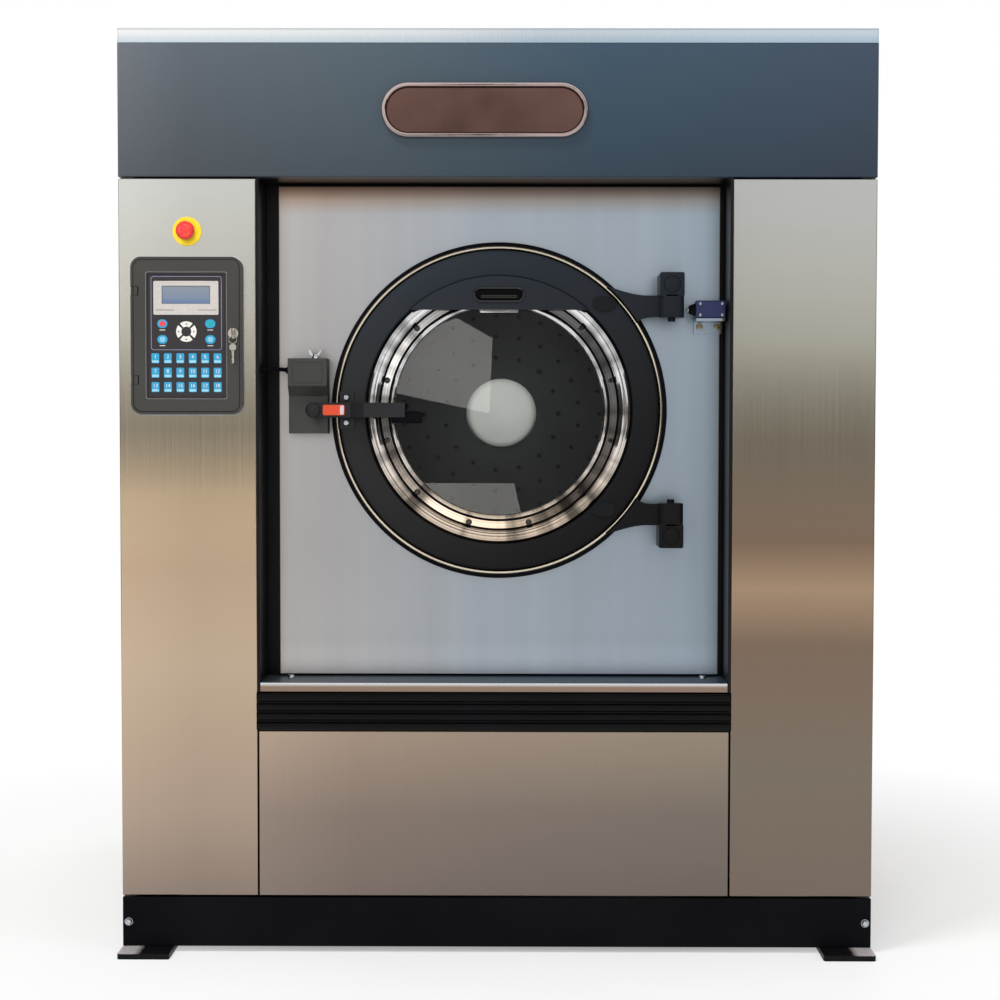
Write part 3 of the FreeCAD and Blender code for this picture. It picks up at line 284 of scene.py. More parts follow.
# Header: one wide folded tray, satin slate enamel, with the controls' wiring behind it.
# Its lower flange turns back over the recess.
def slate_enamel():
    """Satin enamel, paler towards its left end and its top as a painted reflection of the sky, with orange
    peel of about 2 mm drawn coarser.
    """
    material, add, shader, place = start_material("slate_enamel")
    half = 0.8
    foot_z = 1.65
    top_z = 1.93
    peel = add("TexNoise", {"Vector": place, "Scale": 1000 / 5, "Detail": 2.0})
    share = add("MapRange", [add("SeparateXYZ", [place], out="X"), -half, half])
    hue = add("ValToRGB", [share], [
        (0.0, "#53575d"), (0.09, "#454b51"), (0.33, "#3c474f"), (0.64, "#2c3d4a"), (1.0, "#303b48")])
    rise = add("MapRange", [add("SeparateXYZ", [place], out="Z"), foot_z, top_z, 0.72, 1.2])
    tone = add("VectorMath", {0: hue, "Scale": rise}, operation="SCALE")
    dull = add("MapRange", [peel, 0, 1, 0.34, 0.46])
    skin = add("Bump", {"Height": peel, "Strength": 0.1, "Distance": 0.0005})
    set_sockets(shader, {"Base Color": tone, "Roughness": dull, "Specular IOR Level": 0.2, "Normal": skin})
    return material


slate = slate_enamel()
dress("header_tray", "header_panel", slate, "cabinet", "slate_paint", ease=0.0008)


# Top cover: a pale stainless lid with turned-down edges, screwed to the posts at its corners.
# Its bluish tone, its paler left end and the white band along its upper edge are painted reflections of the
# sky, and its flat top is darker.
pale_steel = ground_stainless("pale_stainless", [
    (1.9, "#c3d3df"), (1.934, "#dbe8f0"), (1.95, "#ffffff"), (1.957, "#ffffff"), (1.9588, "#b7c0c6")],
    across=[(-0.8, "#ffffff"), (-0.15, "#f2f5f7"), (0.1, "#d6e0e8"), (0.8, "#cfdae4")], roughness=0.28)
dress("lid", "top_cover", pale_steel, "cabinet", "pale_steel", ease=0.0012)


def point_along(bm, start, spot, out):
    """Turns the vertices from number start on from +Z towards out, and carries them to spot."""
    bm.verts.ensure_lookup_table()
    turn = Vector((0, 0, 1)).rotation_difference(Vector(out)).to_matrix().to_4x4()
    bmesh.ops.transform(bm, matrix=Matrix.Translation(Vector(spot)) @ turn, verts=bm.verts[start:])


def pan_screws(spots, out, radius, height, bm=None):
    """Domed screw heads with a round socket, standing on spots and looking along out."""
    bm = bm or bmesh.new()
    socket = radius * 0.5
    for spot in spots:
        start = len(bm.verts)
        add_turned(bm, [(0, height * 0.35), (socket, height * 0.35), (socket, height * 0.98),
                        (radius * 0.7, height * 0.9), (radius * 0.93, height * 0.55), (radius, 0), (0, 0)],
                   (0, 0, 0), 24, axis="Z")
        point_along(bm, start, spot, out)
    return bm


lid_low, lid_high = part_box("top_cover")
lid_inset = 0.058
lid_spots = [(x, y, lid_high.z - sink) for x in (lid_low.x + lid_inset, lid_high.x - lid_inset)
             for y in (lid_low.y + lid_inset, lid_high.y - lid_inset)]
make_piece("lid_screws", pan_screws(lid_spots, (0, 0, 1), 0.01, 0.005), zinc, "cabinet", "zinc_steel")


# Badge: a polished rim round a plain coppery plate, stuck to the header.
# The rim's rose tint is a painted reflection, the dark channel inside the rim is a painted shadow of its
# inner step, and the plate is bare.
def add_prism(bm, outline, start, end, material=0, axis="Y"):
    """A plate between two planes: an outline of (x, z) points across Y, or of (x, y) points up Z."""
    spots = [[(u, y, v) if axis == "Y" else (u, v, y) for u, v in outline] for y in (start, end)]
    face, back = [[bm.verts.new(spot) for spot in plane] for plane in spots]
    made = [bm.faces.new(face), bm.faces.new(back[::-1])]
    for k in range(len(outline)):
        n = (k + 1) % len(outline)
        made.append(bm.faces.new([face[k], back[k], back[n], face[n]]))
    for one in made:
        one.material_index = material
    return bm


def stadium(x, z, length, height, steps=24):
    """Outline of a bar with round ends."""
    radius = height / 2
    points = []
    for side in (1, -1):
        for k in range(steps + 1):
            turn = math.pi * k / steps - math.pi / 2
            reach = (length - height) / 2 + radius * math.cos(turn)
            points.append((x + side * reach, z + side * radius * math.sin(turn)))
    return points


def rounded_box(x, z, width, height, radius, steps=6):
    """Outline of a rectangle with round corners."""
    points = []
    for sx, sz, start in ((1, 1, 0), (-1, 1, 90), (-1, -1, 180), (1, -1, 270)):
        for k in range(steps + 1):
            turn = math.radians(start + 90 * k / steps)
            points.append((x + sx * (width / 2 - radius) + radius * math.cos(turn),
                           z + sz * (height / 2 - radius) + radius * math.sin(turn)))
    return points


def band(loop, y, steps):
    """Skins loops into a closed band: a step gives a loop's sizes, then how far behind y it lies."""
    bm = bmesh.new()
    loops = [[bm.verts.new((x, y + back, z)) for x, z in loop(*sizes)] for *sizes, back in steps]
    for one, two in zip(loops, loops[1:] + loops[:1]):
        for k in range(len(one)):
            n = (k + 1) % len(one)
            bm.faces.new([one[k], one[n], two[n], two[k]])
    return bm


def box_of(node):
    """A CAD node's lowest and highest corner, its middle and size, and half its width as a radius."""
    low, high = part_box(node)
    radius = (high.x - low.x) / 2
    return SimpleNamespace(low=low, high=high, mid=(low + high) / 2, size=high - low, radius=radius)


def polished(name, shade, roughness=0.07, smear_mm=40.0):
    """Buffed stainless, chrome or nickel: mirror bright with faint buffing smears."""
    return mottled(name, smear_mm, 5.0, [(0.3, dimmed(shade, 0.9)), (0.7, shade)], {"Metallic": 1.0},
                   gloss=(0.3, 0.7, roughness - 0.03, roughness + 0.05))


chrome = polished("buffed_stainless", "#dfe0e3")
copper = polished("coppered_plate", "#7a5d56", 0.16, smear_mm=70.0)
rose_rim = polished("rose_reflection_chrome", "#cdbcb9", smear_mm=25.0)
dark_copper = polished("dark_copper", "#3a2a28", 0.2)
badge = box_of("badge_plate")
rim = 2 * 0.009
field_y = badge.low.y + 0.0085


def badge_loop(inset):
    """The badge's outline, drawn in by a total of inset."""
    return stadium(badge.mid.x, badge.mid.z, badge.size.x - inset, badge.size.z - inset)


badge_rim = band(badge_loop, badge.low.y, (
    (0, badge.size.y), (0, 0.003), (0.004, 0), (rim - 0.003, 0), (rim, 0.002), (rim, badge.size.y)))
make_piece("badge_rim", badge_rim, rose_rim, "cabinet", "polished_steel", replaces="badge_plate", ease=0.0006)
field = add_prism(bmesh.new(), badge_loop(rim), field_y, badge.high.y)
make_piece("badge_field", field, copper, "cabinet", "polished_steel")
# The channel's dark copper is a painted shadow under the rim's inner edge.
channel = band(badge_loop, field_y, (
    (rim, 0.0005), (rim, -0.002), (rim + 0.0022, -0.002), (rim + 0.006, 0.0002)))
make_piece("badge_channel", channel, dark_copper, "cabinet", "polished_steel")


# Side and rear panels: the same stainless trays at the sides, grey enamel at the back.
# Screws hold the rear tray and its service hatch, and pressed louvres cool the drive.
# The side sheets darken and warm towards the floor, painted in like the front panels' ground reflection.
side_steel = ground_stainless("ground_stainless_side", [
    (0.12, "#9c9184"), (0.6, "#b9ab99"), (1.2, "#c6bcae"), (1.9, "#cfcac2")], roughness=0.24)
dress("side_trays", "side_panels", side_steel, "cabinet", "brushed_steel", ease=0.0008)
grey_coat = powder_coat("grey_enamel", "#92979a", "#969b9e", 0.42, 0.4)
dress("rear_tray", "rear_panel", grey_coat, "cabinet", "grey_paint", ease=0.0008)
side_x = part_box("side_panels")[1].x - sink
rear_spots = [(x, -front_y - sink, 0.2 + k * 0.275) for x in (-0.785, 0.785) for k in range(7)]
panel_screws = pan_screws(rear_spots, (0, 1, 0), 0.008, 0.004)
for side in (-1, 1):
    side_spots = [(side * side_x, y, 0.22 + k * 0.4) for y in (-0.7, 0.7) for k in range(5)]
    pan_screws(side_spots, (side, 0, 0), 0.007, 0.0035, panel_screws)
make_piece("panel_screws", panel_screws, zinc, "cabinet", "zinc_steel")


# Recess: black lining boards at both sides and above, a pale folded sill and a ribbed rubber bumper.
# The sill's warm front is a painted reflection and the bright band along its front fold a painted highlight;
# its flat top takes the header's enamel as a painted dark reflection.
def second_finish(bm, chosen):
    """Gives the second of a piece's materials to the faces that a test of face and middle picks."""
    for face in bm.faces:
        if chosen(face, face.calc_center_median()):
            face.material_index = 1


lining_coat = powder_coat("black_lining_paint", "#0d0d0f", "#181719", 0.3, 0.12)
dress("recess_boards", "recess_lining", lining_coat, "cabinet", "black_paint", ease=0.0006)
# The warm low stops are a painted reflection, and the white stops at the top of the front fold a painted
# highlight.
sill_steel = ground_stainless("ground_stainless_sill", [
    (0.559, "#8b786b"), (0.574, "#957f6d"), (0.5766, "#f6f6f6"), (0.5786, "#dfe4e9"), (0.5789, "#4b6075")],
    roughness=0.2)
sill = solid_copy("front_sill")
sill_low, sill_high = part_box("front_sill")
# The flat top gets the slate enamel as a painted dark reflection.
second_finish(sill, lambda face, middle: face.normal.z > 0.9 and middle.z > sill_high.z - 0.001)
make_piece("sill", sill, [sill_steel, slate], "cabinet", "pale_steel", replaces="front_sill", ease=0.0026)


def moulded_rubber(name, shade, worn, specular=0.05):
    """Moulded black rubber: matt, with a faint bloom along its length."""
    return mottled(name, 120, 5.0, [(0.35, shade), (0.75, worn)],
                   {"Roughness": 0.36, "Specular IOR Level": specular}, relief=(3.0, 0.12, 0.0004))


rubber = moulded_rubber("black_rubber", "#070709", "#0d0d12")
waxed_rubber = moulded_rubber("waxed_rubber", "#020203", "#040407", 0.13)
dress("bumper_strip", "ribbed_bumper", waxed_rubber, "cabinet", "rubber", sharp=40)
sill_spots = [(x, sill_low.y + 0.1, sill_high.z - sink) for x in (sill_low.x + 0.055, sill_high.x - 0.045)]
make_piece("sill_screws", pan_screws(sill_spots, (0, 0, 1), 0.008, 0.006), zinc, "cabinet", "zinc_steel")


# Suspended front: one thick ground plate carried by the tub. It floats in the recess with a dark gap.
# Its tones are painted reflections: warm and pale at the left, cool to the right, lighter at the very bottom
# and towards the top, and darker and warm along its top and side edges, where the lining is mirrored.
def plate_steel():
    """Ground plate: broad upright streaks, a painted reflection cast across and up, and warm painted shade 60
    mm deep along its top and sides.
    """
    plate = box_of("inset_panel")
    material, add, shader, place = start_material("ground_stainless_plate")
    x = add("SeparateXYZ", [place], out="X")
    z = add("SeparateXYZ", [place], out="Z")
    aside = add("Math", [add("Math", [x, plate.mid.x], operation="SUBTRACT")], operation="ABSOLUTE")
    from_side = add("Math", [plate.size.x / 2, aside], operation="SUBTRACT")
    from_top = add("Math", [plate.high.z, z], operation="SUBTRACT")
    wide_side = add("Math", [from_side, 14.0], operation="MULTIPLY")
    inward = add("Math", [wide_side, from_top, 0.01], operation="SMOOTH_MIN")
    edge_share = add("Math", [inward, 1 / 0.06], operation="MULTIPLY")
    near = add("ValToRGB", [edge_share], [
        (0.0, "#8c7366"), (0.2, "#bfa392"), (0.5, "#dfcdc0"), (1.0, "#e2e4e8")])
    cast = add("ValToRGB", [add("MapRange", [x, plate.low.x, plate.high.x])], [
        (0.0, "#e2dcd6"), (0.13, "#d5d2cf"), (0.45, "#c7ced4"), (1.0, "#b5c3ce")])
    tone = add("VectorMath", [near, cast], operation="MULTIPLY")
    drawn = add("Mapping", {"Vector": place, "Scale": (1000 / 4, 1000 / 4, 1000 / 900)})
    grit = add("TexNoise", {"Vector": drawn, "Scale": 1.0, "Detail": 4.0})
    broad = add("Mapping", {"Vector": place, "Scale": (1000 / 70, 1000 / 70, 1000 / 1500)})
    streak = add("TexNoise", {"Vector": broad, "Scale": 1.0, "Detail": 2.0})
    light = add("MapRange", [streak, 0.25, 0.75, 1.2, 1.34])
    rise = add("ValToRGB", [add("MapRange", [z, plate.low.z, plate.high.z])], [
        (share, [level] * 3 + [1]) for share, level in (
            (0.0, 0.98), (0.07, 0.71), (0.25, 0.7), (0.6, 0.8), (0.95, 0.9))])
    lit = add("VectorMath", [tone, rise], operation="MULTIPLY")
    streaked = add("VectorMath", {0: lit, "Scale": light}, operation="SCALE")
    dull = add("MapRange", [grit, 0, 1, 0.28, 0.42])
    lines = add("Bump", {"Height": grit, "Strength": 0.15, "Distance": 0.0004})
    set_sockets(shader, {"Base Color": streaked, "Metallic": 1.0, "Roughness": dull, "Normal": lines})
    return material


plate_finish = plate_steel()
dress("floating_plate", "inset_panel", plate_finish, "tub_unit", "brushed_steel", ease=0.0012)


# Door ring: a cast ring, turned and painted satin black. Behind it lie the polished pan, whose edge
# shows as a bright line, and the rubber gasket that seals against the loading neck.
ring_box = box_of("door_ring")
ring_out = ring_box.radius
ring_in = box_of("glass_clamp_ring").radius
ring_front = ring_box.low.y
door_x = ring_box.mid.x
door_z = ring_box.mid.z
door_axis = (door_x, 0.0, door_z)
pan_box = box_of("door_pan")
pan_out = pan_box.radius
pan_front = ring_box.high.y
lip_y = pan_box.low.y
glass_box = box_of("door_glass")
glass_out = glass_box.radius
glass_y = glass_box.low.y
view_r = glass_out - 0.011
fine_round = 160


def arc(centre, radius, start, end, steps):
    """Points of an arc round a centre in a plane, angles in degrees."""
    turns = [math.radians(start + (end - start) * k / steps) for k in range(steps + 1)]
    return [(centre[0] + radius * math.cos(t), centre[1] + radius * math.sin(t)) for t in turns]


def ring_enamel():
    """Satin enamel, bluish towards the top as a painted sky reflection, and painted darker down to the right
    as shade away from the light.
    """
    material, add, shader, place = start_material("satin_black_enamel")
    offset = add("VectorMath", [place, door_axis], operation="SUBTRACT")
    slant = add("VectorMath", [offset, (-0.707, 0.0, 0.707)], out="Value", operation="DOT_PRODUCT")
    shade = add("ValToRGB", [add("MapRange", [slant, -ring_out, ring_out])], [
        (0.0, "#121213"), (0.15, "#161617"), (0.5, "#212121"), (1.0, "#2a2a2a")])
    height = add("MapRange", [add("SeparateXYZ", [offset], out="Z"), 0, ring_out])
    tint = add("ValToRGB", [height], [(0.0, (1.0, 1.0, 1.02, 1)), (0.8, (0.8, 0.98, 1.25, 1))])
    hue = add("VectorMath", [shade, tint], operation="MULTIPLY")
    peel = add("TexNoise", {"Vector": place, "Scale": 1000 / 4, "Detail": 2.0})
    dull = add("MapRange", [peel, 0, 1, 0.32, 0.44])
    skin = add("Bump", {"Height": peel, "Strength": 0.1, "Distance": 0.0006})
    set_sockets(shader, {"Base Color": hue, "Roughness": dull, "Specular IOR Level": 0.07, "Normal": skin})
    return material


ring_coat = ring_enamel()
ring = add_turned(
    bmesh.new(), [(ring_in, pan_front), (ring_out, pan_front), (ring_out, lip_y - 0.001)]
    + arc((ring_out - 0.007, ring_front + 0.007), 0.007, 0, -70, 6)
    + [(ring_out - 0.02, ring_front - 0.0004), (ring_out - 0.03, ring_front)]
    + arc((ring_in + 0.004, ring_front + 0.004), 0.004, -90, -180, 5), door_axis, fine_round)
make_piece("ring_painted", ring, ring_coat, "door", "ring_paint", replaces="door_ring", sharp=40)

bright_edge = polished("buffed_pan_edge", "#e6d9c2", 0.12)
bead_r = 0.0035
groove_out = pan_out - 2 * bead_r
pan_in = view_r + 0.003
pan_back = pan_box.high.y
pan = add_turned(
    bmesh.new(), [(pan_in, pan_back), (pan_out - 0.001, pan_back), (pan_out, pan_back - 0.001)]
    + arc((pan_out - bead_r, lip_y + bead_r), bead_r, 0, -180, 8)
    + [(groove_out, lip_y + 0.006), (ring_out + sink, lip_y + 0.006),
       (ring_out + sink, pan_front), (pan_in, pan_front)], door_axis, fine_round)


def from_axis(spot):
    """How far a spot lies from the door's axis."""
    return math.hypot(spot.x - door_x, spot.z - door_z)


# The groove between the ring and the bead takes the black coat as painted shade.
second_finish(pan, lambda face, middle: from_axis(middle) < groove_out and middle.y < pan_front - 0.001)
make_piece("pan_polished", pan, [bright_edge, black_coat], "door", "polished_steel",
           replaces="door_pan", sharp=40)

gasket_box = box_of("door_gasket")
gasket_out = gasket_box.radius
gasket_in = ring_out - 0.012
gasket = add_turned(
    bmesh.new(), [(gasket_in, gasket_box.low.y), (gasket_out - 0.002, gasket_box.low.y)]
    + arc((gasket_out - 0.005, gasket_box.low.y + 0.005), 0.005, -60, 0, 5)
    + arc((gasket_out - 0.006, gasket_box.high.y - 0.006), 0.006, 0, 80, 5)
    + [(gasket_in, gasket_box.high.y)], door_axis, fine_round)
make_piece("gasket_moulded", gasket, rubber, "door", "rubber", replaces="door_gasket", sharp=45)


# Glass clamp: a spun and buffed stainless ring with a round outer bead, a flange and a rolled inner lip.
# Twelve small cap screws pull it against the glass.
def spun_steel():
    """Spun stainless with painted reflections: fans of highlight and dark stand round the axis, and a warm
    painted floor reflection lies on its lower part.
    """
    material, add, shader, place = start_material("spun_clamp_steel")
    offset = add("VectorMath", [place, door_axis], operation="SUBTRACT")
    flat = add("VectorMath", [offset, (1.0, 0.0, 1.0)], operation="MULTIPLY")
    outward = add("VectorMath", [flat], operation="NORMALIZE")
    fan = add("TexNoise", {"Vector": outward, "Scale": 3.2, "Detail": 3.0})
    fan_tone = add("ValToRGB", [fan], [
        (share, [level] * 3 + [1]) for share, level in ((0.34, 0.16), (0.44, 0.55), (0.52, 0.95))])
    reach = add("VectorMath", [flat], out="Value", operation="LENGTH")
    turning = add("TexNoise", {"W": reach, "Scale": 1000 / 5, "Detail": 1.0}, noise_dimensions="1D")
    line = add("MapRange", [turning, 0.3, 0.7, 0.72, 1.05])
    share = add("MapRange", [add("SeparateXYZ", [offset], out="Z"), -0.24, 0.05])
    hue = add("ValToRGB", [share], [(0.0, "#e6d2bd"), (1.0, "#ececed")])
    fanned = add("VectorMath", [hue, fan_tone], operation="MULTIPLY")
    tone = add("VectorMath", {0: fanned, "Scale": line}, operation="SCALE")
    set_sockets(shader, {"Base Color": tone, "Metallic": 1.0, "Roughness": 0.07})
    return material


flange_y = glass_y - 0.01
groove_y = flange_y + 0.004
bead_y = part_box("glass_clamp_ring")[0].y
bead_w = 0.0145
bead_h = 0.011
crest_r = ring_in - bead_w
lip_r = 0.0055
lip_edge = view_r + 2 * lip_r
step_in = glass_out + 0.001
bead_turns = [math.pi * k / 16 for k in range(17)]
clamp = add_turned(
    bmesh.new(), [(step_in, pan_front), (ring_in, pan_front)]
    + [(crest_r + bead_w * math.cos(t), bead_y + bead_h - bead_h * math.sin(t)) for t in bead_turns]
    + [(crest_r - 0.015, groove_y), (crest_r - 0.018, groove_y), (crest_r - 0.0185, flange_y),
       (view_r + 0.014, flange_y), (view_r + 0.0135, flange_y + 0.003), (lip_edge, flange_y + 0.003)]
    + arc((view_r + lip_r, flange_y + lip_r), lip_r, -25, -180, 9)
    + [(view_r, glass_y), (step_in, glass_y)], door_axis, fine_round)


def in_groove(face, middle):
    """Picks the grooves beside the bead and beside the lip, which take black paint as painted shade."""
    by_bead = crest_r - 0.019 < from_axis(middle) < crest_r - 0.014
    by_lip = lip_edge - 0.0005 < from_axis(middle) < view_r + 0.0142
    return flange_y + 0.0012 < middle.y < flange_y + 0.0045 and (by_bead or by_lip)


second_finish(clamp, in_groove)
make_piece("glass_clamp_buffed", clamp, [spun_steel(), black_coat], "door", "polished_steel",
           replaces="glass_clamp_ring", sharp=28)
cap_spots = [(x, flange_y + sink, z) for x, z in arc((door_x, door_z), view_r + 0.024, 15, 345, 11)]
# The screws' chrome is darkened as a painted dark reflection.
dark_chrome = polished("dark_chrome", "#4d4a47", 0.12)
make_piece("clamp_screws", pan_screws(cap_spots, (0, -1, 0), 0.0068, 0.0066), dark_chrome, "door",
           "polished_steel", replaces="glass_ring_bolts")


# Door glass: a thick flat pane of toughened glass, ground round at its edge.
# It is smoked, so the drum behind it looks dark.
smoked_glass = mottled("smoked_toughened_glass", 180, 4.0, [(0.3, "#bec1bf"), (0.7, "#c8cbc9")],
                       {"Roughness": 0.0, "IOR": 1.52, "Transmission Weight": 1.0})
bevel_w = 0.001
glass_back = glass_box.high.y
glass = add_turned(bmesh.new(), [
    (0, glass_y), (glass_out - bevel_w, glass_y), (glass_out, glass_y + bevel_w),
    (glass_out, glass_back - bevel_w), (glass_out - bevel_w, glass_back), (0, glass_back)],
    door_axis, fine_round, closed=False)
make_piece("pane", glass, smoked_glass, "door", "glass", replaces="door_glass")


# Shield: a painted steel crescent over the top of the clamp ring. A pressed finger pocket in it has
# a glossy black bar, and a polished lip is folded along its straight edge.
shield_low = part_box("door_shield")[0]
shield_y = shield_low.y
dress("shield_plate", "door_shield", ring_coat, "door", "ring_paint", ease=0.0012, sharp=25)
gloss_black = powder_coat("gloss_black_abs", "#0c0c0e", "#121214", 0.16, 0.5)
pocket_z = shield_low.z + 0.032
pocket = band(partial(stadium, door_x, pocket_z), shield_y, (
    (0.112, 0.034, 0.0002), (0.11, 0.032, -0.0022), (0.102, 0.025, -0.0018), (0.099, 0.022, 0.006)))
add_prism(pocket, stadium(door_x, pocket_z, 0.104, 0.027), shield_y + 0.0055, shield_y + 0.0068, 1)
make_piece("finger_pocket", pocket, [gloss_black, black_coat], "door", "ring_paint", sharp=40)
bar_loop = partial(stadium, door_x, pocket_z - 0.004)
bar = band(bar_loop, shield_y, ((0.078, 0.006, 0.005), (0.078, 0.006, 0.0005), (0.074, 0.003, -0.0005)))
add_prism(bar, bar_loop(0.074, 0.003), shield_y - 0.0005, shield_y + 0.004)
make_piece("pocket_bar", bar, gloss_black, "door", "ring_paint", sharp=40)
lip = add_prism(bmesh.new(), [(door_x + dx, shield_low.z + dz) for dx, dz in (
    (-0.042, 0), (0.042, 0), (0.04, -0.006), (-0.04, -0.006))], shield_y + 0.0005, shield_y + 0.004)
make_piece("shield_lip", lip, chrome, "door", "polished_steel", ease=0.0005)


# Hinges: cast arms flare out of the ring and end in square knuckles. Fixed blocks on the plate hold
# the pins, and each block has a round plug in its face.
block = box_of("hinge_blocks")
hinge_x = block.mid.x
hinge_y = block.low.y + block.radius
knuckle_h = 0.05
arm_half = 0.023
arm_depth = 0.026
arm_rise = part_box("hinge_arms")[1].z - door_z - knuckle_h / 2
seat_r = pan_out + 0.0006
curve_shares = [k / 12 for k in range(13)]
arms = bmesh.new()
pads = bmesh.new()
for side in (-1, 1):
    arm_z = door_z + side * arm_rise
    add_prism(arms, rounded_box(hinge_x, hinge_y, 2 * block.radius, 2 * block.radius, 0.014),
              arm_z - knuckle_h / 2, arm_z + knuckle_h / 2, axis="Z")
    root = []
    for flare in (0.043, -0.034):
        rise = side * (arm_rise + flare)
        root.append(Vector((door_x + math.sqrt(seat_r ** 2 - rise ** 2), door_z + rise)))
    outer_z = arm_z + side * arm_half
    inner_z = arm_z - side * arm_half
    tip = [Vector((hinge_x - 0.052, outer_z)), Vector((hinge_x - 0.04, inner_z))]
    bend = [Vector((tip[0].x - 0.03, outer_z)), Vector((tip[1].x - 0.022, inner_z))]
    upper, lower = [[start * (1 - t) ** 2 + by * 2 * t * (1 - t) + end * t ** 2 for t in curve_shares]
                    for start, by, end in zip(root, bend, tip)]
    first, last = [math.degrees(math.atan2(spot.y - door_z, spot.x - door_x)) for spot in root]
    seat = arc((door_x, door_z), seat_r, last, first, 8)[1:-1]
    outline = [*map(tuple, upper), (hinge_x, outer_z), (hinge_x, inner_z), *map(tuple, lower[::-1]), *seat]
    add_prism(arms, outline, ring_front, ring_front + arm_depth)
    pad = stadium(door_x + view_r, arm_z - side * 0.003 + 0.008, 0.049, 0.031, 16)
    add_prism(pads, pad, ring_front - 0.004, ring_front)
make_piece("arms_cast", arms, ring_coat, "door", "ring_paint", replaces="hinge_arms", ease=0.003, sharp=35)
pad_rubber = moulded_rubber("pad_rubber", "#101112", "#18191a", 0.08)
make_piece("arm_pads", pads, pad_rubber, "door", "ring_paint", ease=0.001, sharp=35)
dress("fixed_blocks", "hinge_blocks", ring_coat, "tub_unit", "ring_paint", ease=0.004, sharp=35)
plugs = bmesh.new()
for z in (block.high.z - 0.026, block.low.z + 0.026):
    add_turned(plugs, [(0, 0.0028), (0.0172, 0.0028), (0.0172, 0.0006), (0.0162, 0), (0, -0.0004)],
               (hinge_x, block.low.y, z))
make_piece("hinge_plugs", plugs, ring_coat, "tub_unit", "ring_paint", sharp=40)


def coat_nodes(material, *nodes):
    """Puts a material on CAD nodes that keep their own solids."""
    for node in nodes:
        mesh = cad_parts[node].data
        mesh.materials.clear()
        mesh.materials.append(material)


# The steel pins take the dark ring enamel as painted shade, so that their ends in the gaps at the knuckles
# don't show bright.
coat_nodes(ring_coat, "hinge_pins")


# Lever: a flat forged bar on a round boss, stepped out to a grip, blackened. It turns on the bracket
# that two screws hold to the ring. A plain orange tab is stuck on the bar.
lever_black = powder_coat("blackened_steel", "#1a1a1c", "#242426", 0.42, 0.22, peel_mm=3.0)
dress("lever_bar", "door_lever", lever_black, "handle", "ring_paint", ease=0.0028, sharp=35)
dress("lever_plate", "lever_bracket", lever_black, "door", "zinc_steel", ease=0.0006, sharp=35)
lever_low, lever_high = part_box("door_lever")
bracket_low, bracket_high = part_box("lever_bracket")
boss_x = lever_low.x + 0.016
bar_front = bracket_low.y - 0.0175
lever_spots = [(bracket_high.x - 0.017, bracket_low.y + sink, door_z + dz) for dz in (-0.026, 0.026)]
make_piece("bracket_screws", pan_screws(lever_spots, (0, -1, 0), 0.0062, 0.0035), zinc, "door", "zinc_steel")
boss_cap = add_turned(bmesh.new(), [
    (0, -0.0062), (0.01, -0.006), (0.0138, -0.0045), (0.0155, -0.002), (0.016, 0.002), (0, 0.002)],
    (boss_x, bar_front - 0.004, door_z), closed=False)
make_piece("boss_cap", boss_cap, lever_black, "handle", "ring_paint", sharp=50)
grip_r = 0.013
grip_start = lever_high.x - 0.03
grip_end = lever_high.x + 0.036
grip = add_turned(bmesh.new(), [
    (0, grip_start), (grip_r, grip_start), (grip_r, grip_end - 0.005),
    (grip_r - 0.0015, grip_end - 0.0015), (grip_r - 0.005, grip_end), (0, grip_end)],
    (0, bracket_low.y - 0.0125, door_z - 0.0155), 32, axis="X", closed=False)
make_piece("lever_grip", grip, rubber, "handle", "rubber", sharp=30)


def printed_film(name, shade, roughness=0.4):
    """Printed plastic film: even colour with a slight mottle from the print."""
    return mottled(name, 6.0, 3.0, [(0.3, dimmed(shade, 0.88)), (0.7, shade)],
                   {"Roughness": roughness, "Specular IOR Level": 0.3})


tab_films = [printed_film("orange_film", "#c7452a"), printed_film("white_tab_film", "#c2b6bb")]
tab_y = bar_front - 0.002
tab_back = bar_front + 0.0004
tab = add_prism(bmesh.new(), rounded_box(boss_x + 0.044, door_z, 0.046, 0.022, 0.003), tab_y, tab_back)
add_prism(tab, rounded_box(boss_x + 0.0615, door_z, 0.008, 0.019, 0.002), tab_y - sink, tab_back, 1)
make_piece("orange_tab", tab, tab_films, "handle", "ring_paint")


# Lock box: a moulded housing on the plate with a thicker upper part, closed by a wing screw.
# Its cable goes into the side of the recess.
lock_plastic = powder_coat("charcoal_moulding", "#353532", "#403f3d", 0.5, 0.25, peel_mm=2.5)
dress("lock_housing", "lock_box", lock_plastic, "tub_unit", "lock_plastic", ease=0.0022, sharp=20)
lock = box_of("lock_box")
screw = box_of("lock_wing_screw")
lid_z = lock.high.z + 0.0003
wing = add_turned(bmesh.new(), [
    (0, screw.low.z), (0.0036, screw.low.z), (0.0038, lid_z), (0.008, lid_z), (0.0078, lid_z + 0.004),
    (0.0052, lid_z + 0.009), (0.003, lid_z + 0.011), (0, lid_z + 0.0115)],
    (screw.mid.x, screw.mid.y, 0), 32, axis="Z", closed=False)
wing_half = 0.0018
for side in (-1, 1):
    add_prism(wing, [(screw.mid.x + side * u, lid_z + v) for u, v in (
        (0.003, 0.002), (0.008, 0.004), (0.0125, 0.0095), (0.015, 0.016), (0.014, 0.0195),
        (0.0105, 0.018), (0.007, 0.0125), (0.003, 0.0095))],
        screw.mid.y - wing_half, screw.mid.y + wing_half)
make_piece("wing_nut", wing, chrome, "wing_screw", "zinc_steel", replaces="lock_wing_screw",
           ease=0.0005, sharp=35)
seam = band(partial(rounded_box, lock.mid.x, lock.high.z - 0.03), lock.low.y, (
    (0.066, 0.046, 0.003, 0.0003), (0.065, 0.045, 0.003, -0.0008),
    (0.062, 0.042, 0.003, -0.0008), (0.061, 0.041, 0.003, 0.0003)))
make_piece("lock_lid_line", seam, lock_plastic, "tub_unit", "lock_plastic")

